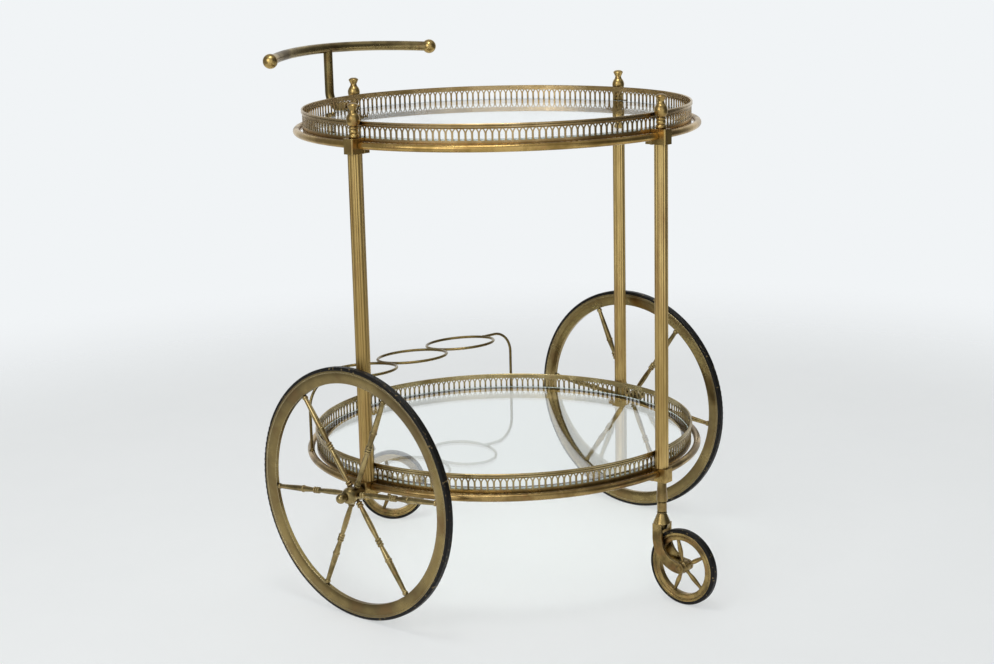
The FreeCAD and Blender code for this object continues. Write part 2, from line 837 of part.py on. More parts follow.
def bottle_holder(lower_rail):
    """Three wire rings side by side, carried by a bent leg at each end from the lower rail."""
    pitch = 2 * S.bottle_ring_radius + S.wire_dia + S.wire_gap
    for side, number in (("right", -1), ("middle", 0), ("left", 1)):
        label = f"bottle_ring_{side}"
        ring = DOC.addObject("Part::Torus", label)
        ring.setExpression("Radius1", S.bottle_ring_radius.text)
        ring.setExpression("Radius2", (S.wire_dia / 2).text)
        x = S.tray_x + HOLDER_X
        place(ring, x, number * pitch, HOLDER_Z, turn=360 - S.holder_tilt, axis=ALONG_Y)
        keep(ring, label)

    foot_x = RAIL_CIRCLE * cosine(S.holder_leg_angle)
    foot_y = RAIL_CIRCLE * sine(S.holder_leg_angle)
    step_x = HOLDER_X - foot_x
    step_y = pitch + S.bottle_ring_radius + S.wire_dia / 2 + S.leg_gap - foot_y
    run = root(step_x * step_x + step_y * step_y)
    rise = S.holder_rise
    bend = S.holder_leg_bend
    corner = bend - bend * cosine(45)
    for side, sign in (("left", 1), ("right", -1)):
        label = f"bottle_leg_{side}"
        wire = bent_rod(f"{label}_wire", S.wire_dia, [
            (0, 0),
            (0, rise - bend),
            (bend, rise, corner, rise - corner),
            (run, rise),
        ])
        turn = 360 + sign * bearing(step_x, step_y)
        place(wire, S.tray_x + foot_x, sign * foot_y, LOWER_RAIL_Z, turn=turn)
        leg = DOC.addObject("Part::Cut", label)
        leg.Base = wire
        leg.Tool = lower_rail
        keep(leg, label)


# Side wheels

def beside(piece, angle):
    """Set a piece made along the axle, with X outward, on its side of the cart."""
    return place(piece, x=S.tray_x, z=AXLE_Z, turn=angle)


def spoked(piece, angle):
    """Set a piece of a wheel on its side of the cart, turned to the spokes' place at rest."""
    base = FreeCAD.Vector(S.tray_x.value, 0, AXLE_Z.value)
    turn = FreeCAD.Rotation(UP, angle) * FreeCAD.Rotation(ALONG_X, S.spoke_phase.value)
    piece.Placement = FreeCAD.Placement(base, turn)
    return piece


def stub_axle(side, angle):
    """A stub axle screwed into the block, with a collar that sets the wheel off."""
    label = f"axle_{side}"
    inner = BOSS_FRONT - S.axle_bite
    collar = BOSS_FRONT + S.axle_collar_long
    tip = CAP_IN + S.cap_bore_deep - S.axle_gap
    axle = turned(label, [
        (inner, 0),
        (inner, S.axle_dia / 2),
        (BOSS_FRONT, S.axle_dia / 2),
        (BOSS_FRONT, S.axle_collar_dia / 2),
        (collar, S.axle_collar_dia / 2),
        (collar, S.axle_dia / 2),
        (CAP_IN, S.axle_dia / 2),
        (CAP_IN, S.axle_tip_dia / 2),
        (tip, S.axle_tip_dia / 2),
        (tip, 0),
    ], axis="H_Axis")
    return beside(keep(axle, label), angle)


def cap_nut(side, angle):
    """A ball-ended cap nut that keeps the wheel on its axle."""
    label = f"cap_nut_{side}"
    bore = S.axle_tip_dia / 2 + S.axle_gap
    neck = CAP_IN + S.cap_neck_long
    reach = root(S.cap_ball_dia * S.cap_ball_dia - S.cap_neck_dia * S.cap_neck_dia) / 2
    centre = neck + reach
    nut = turned(label, [
        (CAP_IN, bore),
        (CAP_IN, S.cap_neck_dia / 2),
        (neck, S.cap_neck_dia / 2),
        (centre + S.cap_ball_dia / 2, 0, centre, S.cap_ball_dia / 2),
        (CAP_IN + S.cap_bore_deep, 0),
        (CAP_IN + S.cap_bore_deep, bore),
    ], axis="H_Axis")
    return beside(keep(nut, label), angle)


def spoke_holes(body, radius):
    """Drill six radial holes for the spokes' tenons, outward from a radius."""
    start = new_sketch(body, "XY_Plane", radius)
    draw_circle(start, WHEEL_PLANE, 0, S.tenon_dia + 2 * S.tenon_gap)
    hole = pocket(body, start, S.tenon_long + 2 * S.tenon_gap, forward=True)
    pattern(body, hole, "X_Axis", S.spoke_count)


def wheel_hub(side, angle):
    """A barrel hub with a domed outer end."""
    label = f"wheel_{side}_hub"
    bore = S.axle_dia / 2 + S.axle_gap
    dome = HUB_OUT - S.hub_round_long
    shoulder = WHEEL_PLANE - S.hub_dia / 2
    lean = (S.hub_dia + S.hub_end_dia) / 4
    hub = turned(label, [
        (HUB_IN, bore),
        (HUB_IN, S.hub_shoulder_dia / 2),
        (shoulder, S.hub_shoulder_dia / 2),
        (shoulder + S.run_gap, S.hub_dia / 2),
        (dome, S.hub_dia / 2),
        (HUB_OUT, S.hub_end_dia / 2, HUB_OUT - S.hub_round_long / 3, lean),
        (HUB_OUT, bore),
    ], axis="H_Axis")
    spoke_holes(hub, S.hub_dia / 2 - S.tenon_long)
    return spoked(keep(hub, label), angle)


def wheel_rim(side, angle):
    """A rim of tapered section with bellied sides and a raised flange beside the tyre."""
    label = f"wheel_{side}_rim"
    plane = WHEEL_PLANE
    edge = S.rim_edge_wide / 2
    wide = S.rim_wide / 2
    flange = wide + S.flange_step
    foot = RIM_OUTER - S.flange_tall
    belly = (edge + wide) / 2 + S.rim_belly
    middle = (RIM_INNER + foot) / 2
    rim = turned(label, [
        (plane - edge, RIM_INNER, plane - belly, middle),
        (plane + edge, RIM_INNER),
        (plane + wide, foot, plane + belly, middle),
        (plane + flange, foot),
        (plane + flange, RIM_OUTER),
        (plane - flange, RIM_OUTER),
        (plane - flange, foot),
        (plane - wide, foot),
    ], axis="H_Axis")
    spoke_holes(rim, RIM_INNER - S.tenon_gap)
    return spoked(keep(rim, label), angle)


def tyre_section(plane, inner, outer, wide, round_off):
    """Return half the section of a solid tyre with rounded shoulders."""
    half = wide / 2
    cut = round_off * (1 - cosine(45))
    return [
        (plane - half, inner),
        (plane + half, inner),
        (plane + half, outer - round_off),
        (plane + half - round_off, outer, plane + half - cut, outer - cut),
        (plane - half + round_off, outer),
        (plane - half, outer - round_off, plane - half + cut, outer - cut),
    ]


def wheel_tyre(side, angle):
    """A narrow solid tyre on the rim."""
    label = f"wheel_{side}_tyre"
    section = tyre_section(WHEEL_PLANE, RIM_OUTER, S.wheel_dia / 2, S.tyre_wide, S.tyre_round)
    return spoked(keep(turned(label, section, axis="H_Axis"), label), angle)


def wheel_spokes(side, angle):
    """Six turned spokes: two beads at the hub, a slim swelling, a knot of three beads, a flare
    to a collar, a thicker taper and a ferrule at the rim."""
    label = f"wheel_{side}_spokes"
    slim = S.spoke_slim_dia
    beads = S.spoke_bead_tall
    tenon = S.tenon_dia / 2
    first = S.spoke_root + beads
    second = first + beads
    knots = [S.spoke_knot_at + beads * number for number in range(4)]
    collar_top = S.spoke_collar_at + S.spoke_collar_tall
    ferrule_top = RIM_INNER - S.spoke_gap
    ferrule_foot = ferrule_top - S.spoke_ferrule_tall
    spoke = turned(f"{label}_spoke", [
        (0, S.hub_dia / 2 - S.tenon_long),
        (tenon, S.hub_dia / 2 - S.tenon_long),
        (tenon, S.spoke_root),
        (slim / 2, S.spoke_root),
        bead(S.spoke_root, first, slim, S.spoke_bead_dia),
        bead(first, second, slim, S.spoke_bead_dia),
        bead(second, knots[0], slim, S.spoke_swell_dia),
        bead(knots[0], knots[1], slim, S.spoke_bead_dia),
        bead(knots[1], knots[2], slim, S.spoke_bead_dia),
        bead(knots[2], knots[3], slim, S.spoke_bead_dia),
        (S.spoke_thick_dia / 2, S.spoke_collar_at),
        bead(S.spoke_collar_at, collar_top, S.spoke_thick_dia, S.spoke_collar_dia),
        (S.spoke_tip_dia / 2, ferrule_foot),
        bead(ferrule_foot, ferrule_top, 2 * tenon, S.spoke_ferrule_dia),
        (tenon, RIM_INNER + S.tenon_long),
        (0, RIM_INNER + S.tenon_long),
    ])
    shift = FreeCAD.Vector(WHEEL_PLANE.value, 0, 0)
    return spoked(ring_of(label, spoke, S.spoke_count, axis=ALONG_X, shift=shift), angle)


# Casters

def under_post(piece, sign, swivel, z=0, trail=0):
    """Set a piece of a caster under its post, turned to its swivel at rest."""
    trail = size(trail)
    x = S.tray_x + sign * POST_CIRCLE + trail * cosine(swivel)
    return place(piece, x, trail * sine(swivel), z, turn=swivel)


def leg_ferrule(end, sign):
    """A tapered sleeve under the lower block, bored for the fork's stem."""
    label = f"leg_ferrule_{end}"
    sleeve = turned(label, [
        (SWIVEL_BORE / 2, NUT_TOP),
        (S.ferrule_foot_dia / 2, NUT_TOP),
        (S.ferrule_top_dia / 2, LEG_TOP),
        (SWIVEL_BORE / 2, LEG_TOP),
    ])
    return under_post(keep(sleeve, label), sign, size(0))


def swivel_nut(end, sign):
    """A rounded collar that the fork's neck turns against."""
    label = f"swivel_nut_{end}"
    shoulder = NUT_FOOT + S.nut_tall
    cut = S.nut_round * (1 - cosine(45))
    radius = S.nut_dia / 2
    nut = turned(label, [
        (SWIVEL_BORE / 2, NUT_FOOT),
        (radius - S.nut_round, NUT_FOOT),
        (radius, NUT_FOOT + S.nut_round, radius - cut, NUT_FOOT + cut),
        (radius, shoulder - S.nut_round),
        (radius - S.nut_round, shoulder, radius - cut, shoulder - cut),
        (S.nut_neck_dia / 2, shoulder),
        (S.nut_neck_dia / 2, NUT_TOP),
        (SWIVEL_BORE / 2, NUT_TOP),
    ])
    return under_post(keep(nut, label), sign, size(0))


def caster_fork(end, sign, swivel):
    """A cast fork: swivel stem, flared neck, crown and two legs swept back to the axle."""
    label = f"caster_{end}_fork"
    fork = new_body(label)
    groove = NECK_Z - S.neck_groove_tall
    neck = draw(new_sketch(fork, "XZ_Plane"), [
        (0, CROWN_Z),
        (S.fork_leg / 2, CROWN_Z),
        (S.fork_wide / 2, SHOULDER_Z),
        (S.neck_dia / 2, groove),
        (S.neck_groove_dia / 2, groove),
        (S.neck_groove_dia / 2, NECK_Z),
        (S.swivel_stem_dia / 2, NECK_Z),
        (S.swivel_stem_dia / 2, SWIVEL_TOP),
        (0, SWIVEL_TOP),
    ])
    revolve(fork, neck)

    half = S.fork_leg / 2
    trail = S.caster_trail
    elbow_z = CASTER_RADIUS + trail
    outer = trail + half
    inner = trail - half
    slant = cosine(45)
    legs = draw(new_sketch(fork, "XZ_Plane"), [
        (-half, SHOULDER_Z),
        (-half, elbow_z),
        (trail, CASTER_RADIUS - half, trail - outer * slant, elbow_z - outer * slant),
        (trail, CASTER_RADIUS + half, trail + half, CASTER_RADIUS),
        (half, elbow_z, trail - inner * slant, elbow_z - inner * slant),
        (half, SHOULDER_Z),
    ])
    pad(fork, legs, S.fork_wide, both_ways=True)
    slot = new_sketch(fork, "XZ_Plane")
    draw(slot, box_corners(-outer, trail + outer, 0, CROWN_Z))
    pocket(fork, slot, S.fork_slot, both_ways=True)
    pin_hole = S.caster_pin_dia + 2 * S.caster_pin_gap
    hole = draw_circle(new_sketch(fork, "XZ_Plane"), trail, CASTER_RADIUS, pin_hole)
    pocket(fork, hole, 2 * S.fork_wide, both_ways=True)
    return under_post(keep(fork, label), sign, swivel)


def at_caster_axle(piece, sign, swivel):
    """Set a piece made about the Y axis at a caster's axle."""
    return under_post(piece, sign, swivel, z=CASTER_RADIUS, trail=S.caster_trail)


def caster_pin(end, sign, swivel):
    """The riveted pin through the fork and the wheel."""
    label = f"caster_{end}_pin"
    face = S.fork_wide / 2
    tip = face + S.pin_head_tall
    head = S.pin_head_dia / 2
    flat = S.pin_tip_dia / 2
    dome = face + S.pin_head_tall * 2 / 3
    pin = turned(label, [
        (-tip, 0),
        (-tip, flat),
        (-face, head, -dome, S.pin_dome_dia / 2),
        (-face, S.caster_pin_dia / 2),
        (face, S.caster_pin_dia / 2),
        (face, head),
        (tip, flat, dome, S.pin_dome_dia / 2),
        (tip, 0),
    ], role="YZ_Plane", axis="H_Axis")
    return at_caster_axle(keep(pin, label), sign, swivel)


def caster_wheel(end, sign, swivel):
    """A cast wheel: hub, five round tapered spokes and a rim stepped on both faces."""
    label = f"caster_{end}_wheel"
    wheel = new_body(label)
    outer = CASTER_RADIUS - S.caster_tyre_thick
    inner = outer - S.caster_rim_radial
    half = S.caster_rim_wide / 2
    step = half - S.caster_rim_step
    lip = outer - S.caster_rim_lip
    rim = draw(new_sketch(wheel, "YZ_Plane"), [
        (-step, inner),
        (step, inner),
        (step, lip),
        (half, lip),
        (half, outer),
        (-half, outer),
        (-half, lip),
        (-step, lip),
    ])
    revolve(wheel, rim, axis="H_Axis")
    root_radius = S.caster_hub_dia / 2
    arm_plane = new_sketch(wheel, "XZ_Plane")
    lean = FreeCAD.Rotation(UP, S.caster_spoke_phase.value)
    arm_plane.AttachmentOffset = FreeCAD.Placement(FreeCAD.Vector(), lean)
    arm_plane.setExpression("AttachmentOffset.Rotation.Angle", S.caster_spoke_phase.text)
    spoke = draw(arm_plane, [
        (0, root_radius - S.caster_rim_lip),
        (S.caster_spoke_root_dia / 2, root_radius - S.caster_rim_lip),
        (S.caster_spoke_tip_dia / 2, inner + S.caster_rim_lip),
        (0, inner + S.caster_rim_lip),
    ])
    arm = revolve(wheel, spoke)
    pattern(wheel, arm, "Y_Axis", S.caster_spoke_count)
    bore = S.caster_pin_dia / 2 + S.caster_pin_gap
    hub_half = S.caster_hub_wide / 2
    hub = draw(new_sketch(wheel, "YZ_Plane"), [
        (-hub_half, bore),
        (hub_half, bore),
        (hub_half, root_radius - S.caster_rim_step),
        (hub_half - S.caster_rim_step, root_radius),
        (S.caster_rim_step - hub_half, root_radius),
        (-hub_half, root_radius - S.caster_rim_step),
    ])
    revolve(wheel, hub, axis="H_Axis")
    return at_caster_axle(keep(wheel, label), sign, swivel)


def caster_tyre(end, sign, swivel):
    """A solid tyre on the caster's rim."""
    label = f"caster_{end}_tyre"
    outer = CASTER_RADIUS
    inner = outer - S.caster_tyre_thick
    section = tyre_section(size(0), inner, outer, S.caster_tyre_wide, S.caster_tyre_round)
    tyre = turned(label, section, role="YZ_Plane", axis="H_Axis")
    return at_caster_axle(keep(tyre, label), sign, swivel)


def build():
    """Make every piece of the cart."""
    quarter = gallery_quarter()
    for name, height in (("upper", UPPER_RAIL_Z), ("lower", LOWER_RAIL_Z)):
        rails = rail(f"{name}_rail", height)
        tray_ring(f"{name}_tray_ring", height)
        gallery(f"{name}_gallery", quarter, height)
        glass(f"{name}_glass", height)
        tray_screws(f"{name}_tray_screws", height)
    tie_rods()
    for side, angle in (("front", 0), ("left", 90), ("rear", 180), ("right", 270)):
        post(side, angle)
        finial(side, angle)
        head = upper_block(side, angle)
        drop = S.axle_boss_drop if side in ("left", "right") else S.foot_drop
        foot = lower_block(side, angle, drop)
        if side == "rear":
            handle_socket(head)
        if side in ("left", "right"):
            axle_hole(foot)
            stub_axle(side, angle)
            cap_nut(side, angle)
            wheel_hub(side, angle)
            wheel_rim(side, angle)
            wheel_tyre(side, angle)
            wheel_spokes(side, angle)
    handle()
    bottle_holder(rails)
    for end, sign, swivel in (("front", 1, S.front_swivel), ("rear", -1, S.rear_swivel)):
        leg_ferrule(end, sign)
        swivel_nut(end, sign)
        caster_fork(end, sign, swivel)
        caster_pin(end, sign, swivel)
        caster_wheel(end, sign, swivel)
        caster_tyre(end, sign, swivel)
    DOC.recompute()


def check():
    """Stop if any object failed or any piece is not sound."""
    for item in DOC.Objects:
        if "Invalid" in item.State or "Error" in item.State:
            raise RuntimeError(f"{item.Name} ({item.Label}) failed")
    for piece in PIECES:
        shape = piece.Shape
        if shape.isNull() or not shape.isValid() or not shape.Solids:
            raise RuntimeError(f"{piece.Label} is not a sound solid")


def export():
    """Write each piece to its own file."""
    os.makedirs("parts", exist_ok=True)
    for piece in PIECES:
        piece.Shape.exportStep(f"parts/{piece.Label}.step")
        print(f"{piece.Label}: {len(piece.Shape.Solids)} solids, {piece.Shape.Volume / 1000:.2f} cm3")


build()
check()
export()
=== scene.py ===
"""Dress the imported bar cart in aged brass, float glass and worn rubber, and set it in a plain studio."""
import logging
import math
from dataclasses import dataclass
from enum import Enum, auto
from typing import Any, Callable, Iterable, Sequence

import bmesh
import bpy
from mathutils import Matrix, Vector


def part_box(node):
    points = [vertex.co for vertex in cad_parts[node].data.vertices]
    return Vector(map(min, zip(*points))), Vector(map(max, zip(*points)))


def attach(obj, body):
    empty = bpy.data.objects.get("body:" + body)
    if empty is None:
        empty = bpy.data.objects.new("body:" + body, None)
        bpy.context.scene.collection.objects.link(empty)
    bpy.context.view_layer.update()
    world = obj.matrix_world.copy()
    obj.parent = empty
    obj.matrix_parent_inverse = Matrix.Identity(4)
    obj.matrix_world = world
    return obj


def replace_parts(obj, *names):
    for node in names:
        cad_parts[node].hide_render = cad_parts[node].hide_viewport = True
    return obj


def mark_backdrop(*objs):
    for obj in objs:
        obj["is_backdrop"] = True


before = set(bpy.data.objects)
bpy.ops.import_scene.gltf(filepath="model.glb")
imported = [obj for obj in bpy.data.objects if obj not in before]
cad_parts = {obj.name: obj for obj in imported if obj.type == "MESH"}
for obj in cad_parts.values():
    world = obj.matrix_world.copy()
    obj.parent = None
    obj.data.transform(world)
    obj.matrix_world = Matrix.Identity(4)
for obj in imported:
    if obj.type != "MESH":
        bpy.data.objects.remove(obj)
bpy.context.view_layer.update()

MM = 0.001
# Points nearer than this are merged, edges sharper than this stay crisp, and a face whose normal
# has at least this much of Z counts as level.
WELD = 0.001 * MM
CRISP_ANGLE = math.radians(40)
LEVEL_FACE = 0.9
# Rays by which a thing is seen straight or through glass, and with them those that metal mirrors.
SEEN_DIRECTLY = ("Is Camera Ray", "Is Transmission Ray")
SEEN_OR_MIRRORED = (*SEEN_DIRECTLY, "Is Glossy Ray")
log = logging.getLogger("bar_cart")


class Named(Enum):
    """A choice whose name, in lower case, is part of its nodes' names."""

    @property
    def word(self) -> str:
        """The name as the nodes spell it."""
        return self.name.lower()


class Level(Named):
    """The two trays."""

    UPPER = auto()
    LOWER = auto()


class Corner(Named):
    """The four posts, with the angle of each from the front, in degrees."""

    FRONT = 0
    LEFT = 90
    REAR = 180
    RIGHT = 270


class Side(Named):
    """The two sides, with the sign of each along the cart's width."""

    LEFT = 1
    RIGHT = -1


class End(Named):
    """The two ends with casters: where each swivels along the cart, and its fork's turn in degrees."""

    FRONT = (235.0 * MM, -1.0)
    REAR = (-261.0 * MM, 38.0)


class Grain(Enum):
    """How closely a tarnish pattern is set along each axis. A low number draws it out."""

    EVEN = (1.0, 1.0, 1.0)
    UPRIGHT = (1.0, 1.0, 0.16)


# Shared tools


def linear(hex_code: str) -> tuple[float, float, float, float]:
    """Turn an sRGB hex colour into linear values.

    Args:
        hex_code: Colour as six hex digits after a hash.

    Returns:
        Red, green, blue and an alpha of one.
    """
    values = [int(hex_code[start:start + 2], 16) / 255 for start in (1, 3, 5)]
    red, green, blue = [v / 12.92 if v <= 0.04045 else ((v + 0.055) / 1.055) ** 2.4 for v in values]
    return red, green, blue, 1.0


def per_mm(length: float) -> float:
    """Return the texture scale, in cycles per metre, of a pattern of that many millimetres."""
    return 1.0 / (length * MM)


def add_node(tree: bpy.types.NodeTree, kind: str, inputs: dict[Any, Any] | None = None,
             **settings: Any) -> bpy.types.Node:
    """Add a node, set its properties, and fill or link its inputs.

    Args:
        tree: Node tree that takes the node.
        kind: Blender's name for the node type.
        inputs: Value or output socket for each input, by name or place.
        settings: Properties of the node.

    Returns:
        The new node.
    """
    node = tree.nodes.new(kind)
    for name, value in settings.items():
        setattr(node, name, value)
    for key, value in (inputs or {}).items():
        if isinstance(value, bpy.types.NodeSocket):
            tree.links.new(value, node.inputs[key])
        else:
            node.inputs[key].default_value = value
    return node


def new_material(name: str) -> bpy.types.Material:
    """Make a material with only its output node.

    Args:
        name: The real material, and how its surface was made.

    Returns:
        The new material.
    """
    material = bpy.data.materials.new(name)
    material.use_nodes = True
    tree = material.node_tree
    tree.nodes.clear()
    add_node(tree, "ShaderNodeOutputMaterial")
    return material


def show(material: bpy.types.Material, shader: bpy.types.NodeSocket) -> bpy.types.Material:
    """Link a shader to a material's surface.

    Args:
        material: Material that it finishes.
        shader: Output of the last shader node.

    Returns:
        The same material.
    """
    tree = material.node_tree
    tree.links.new(shader, tree.nodes["Material Output"].inputs["Surface"])
    return material


def dress(names: Iterable[str], material: bpy.types.Material) -> None:
    """Give CAD nodes a material.

    Args:
        names: Names of the nodes.
        material: Their finish.
    """
    for name in names:
        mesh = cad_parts[name].data
        mesh.materials.clear()
        mesh.materials.append(material)
        log.info("%s: %s", name, material.name)


def any_ray(tree: bpy.types.NodeTree, kinds: Sequence[str]) -> bpy.types.NodeSocket:
    """Tell some kinds of rays from the others, such as those by which a surface is seen.

    Args:
        tree: Node tree of the surface or the surround.
        kinds: The Light Path outputs that count.

    Returns:
        A socket that holds one for rays of those kinds and nought for the rest.
    """
    rays = add_node(tree, "ShaderNodeLightPath")
    found = rays.outputs[kinds[0]]
    for kind in kinds[1:]:
        either = add_node(tree, "ShaderNodeMath", {0: found, 1: rays.outputs[kind]}, operation="MAXIMUM")
        found = either.outputs[0]
    return found


# Modelling


def start_piece() -> None:
    """Leave edit mode and deselect everything, so that an operator acts on the new piece alone."""
    if bpy.context.mode != "OBJECT":
        bpy.ops.object.mode_set(mode="OBJECT")
    bpy.ops.object.select_all(action="DESELECT")


def edit_whole() -> None:
    """Enter edit mode on the active piece with all its points selected."""
    bpy.ops.object.mode_set(mode="EDIT")
    bpy.ops.mesh.select_mode(type="VERT")
    bpy.ops.mesh.select_all(action="SELECT")


def settle() -> bpy.types.Object:
    """Leave edit mode and put the active piece's place in its mesh.

    Returns:
        The piece.
    """
    bpy.ops.object.mode_set(mode="OBJECT")
    bpy.ops.object.transform_apply(location=True, rotation=True, scale=True)
    return bpy.context.object


def finish_piece(name: str, place: Matrix, body: str, material: bpy.types.Material) -> bpy.types.Object:
    """Name the active piece, put its place in its mesh, smooth it and let it ride on a body.

    Args:
        name: Name of the piece.
        place: Where the piece goes in the cart's frame.
        body: CAD body that carries it.
        material: Its finish.

    Returns:
        The finished piece.
    """
    piece = bpy.context.object
    piece.name = name
    piece.data.name = name
    piece.matrix_world = place @ piece.matrix_world
    settle()
    bpy.ops.object.shade_smooth_by_angle(angle=CRISP_ANGLE)
    piece.data.materials.clear()
    piece.data.materials.append(material)
    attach(piece, body)
    log.info("%s on %s", name, body)
    return piece


def turn_levels(levels: Sequence[tuple[float, float]]) -> None:
    """Extrude the selected loop about Z from level to level, resizing it at each, and make the faces agree.

    Args:
        levels: Radius and height of each level, the loop's own first.
    """
    for (radius, height), (next_radius, next_height) in zip(levels, levels[1:]):
        rise = {"value": (0, 0, next_height - height)}
        bpy.ops.mesh.extrude_region_move(TRANSFORM_OT_translate=rise)
        share = next_radius / radius
        bpy.ops.transform.resize(value=(share, share, 1), center_override=(0, 0, next_height))
    bpy.ops.mesh.select_all(action="SELECT")
    bpy.ops.mesh.remove_doubles(threshold=WELD)
    bpy.ops.mesh.normals_make_consistent(inside=False)


def turn_ring(section: Sequence[tuple[float, float]], segments: int = 48) -> bpy.types.Object:
    """Model a ring about Z at the origin from its section, one extruded loop for each corner.

    Args:
        section: Radius and height of each corner, in order round the section.
        segments: Points round the ring.

    Returns:
        The ring.
    """
    start_piece()
    radius, height = section[0]
    bpy.ops.mesh.primitive_circle_add(vertices=segments, radius=radius, location=(0, 0, height))
    edit_whole()
    turn_levels([*section, section[0]])
    return settle()


def round_section(radius: float, height: float, wide: float, tall: float,
                  corners: int = 12) -> list[tuple[float, float]]:
    """Return an oval section for a ring.

    Args:
        radius: Radius of the ring at the middle of its section.
        height: Height of that middle.
        wide: Width of the section, across the ring.
        tall: Height of the section.
        corners: Points round the section.

    Returns:
        Radius and height of each point.
    """
    turns = [2 * math.pi * number / corners for number in range(corners)]
    return [(radius + wide / 2 * math.cos(turn), height + tall / 2 * math.sin(turn)) for turn in turns]


def turn_solid(levels: Sequence[tuple[float, float]], segments: int = 24) -> bpy.types.Object:
    """Model a turned solid about Z at the origin: a disc that is extruded and resized level by level.

    Args:
        levels: Radius and height of each level, from the foot up.
        segments: Points round the piece.

    Returns:
        The solid.
    """
    start_piece()
    radius, height = levels[0]
    bpy.ops.mesh.primitive_circle_add(
        vertices=segments, radius=radius, fill_type="NGON", location=(0, 0, height))
    edit_whole()
    turn_levels(levels)
    return settle()


def pick_faces(test: Callable[[bmesh.types.BMFace], bool]) -> None:
    """Select only some faces of the piece in edit mode.

    Args:
        test: Says whether a face is one of them.
    """
    bpy.ops.mesh.select_mode(type="FACE")
    bpy.ops.mesh.select_all(action="DESELECT")
    mesh = bpy.context.object.data
    for face in bmesh.from_edit_mesh(mesh).faces:
        face.select_set(test(face))
    bmesh.update_edit_mesh(mesh)


def copy_at(master: bpy.types.Object, place: Matrix) -> bpy.types.Object:
    """Copy a piece with a mesh of its own, and put the copy's place in that mesh.

    Args:
        master: Piece that is copied.
        place: Where the copy goes.

    Returns:
        The copy.
    """
    copy = bpy.data.objects.new(master.name, master.data.copy())
    copy.data.transform(place @ master.matrix_world)
    bpy.context.scene.collection.objects.link(copy)
    return copy


def join_pieces(pieces: Sequence[bpy.types.Object]) -> None:
    """Join pieces into the first of them, which is then active and selected.

    Args:
        pieces: Pieces that become one.
    """
    start_piece()
    for piece in pieces:
        piece.select_set(True)
    bpy.context.view_layer.objects.active = pieces[0]
    bpy.ops.object.join()


def combine(target: bpy.types.Object, tool: bpy.types.Object, operation: str) -> None:
    """Add one piece to another or cut it away, and remove the tool.

    Args:
        target: Piece that is changed.
        tool: Piece that is added or cut away.
        operation: Blender's word for the change.
    """
    start_piece()
    target.select_set(True)
    bpy.context.view_layer.objects.active = target
    change = target.modifiers.new("change", "BOOLEAN")
    change.operation = operation
    change.object = tool
    bpy.ops.object.modifier_apply(modifier=change.name)
    bpy.data.objects.remove(tool)


# Finishes


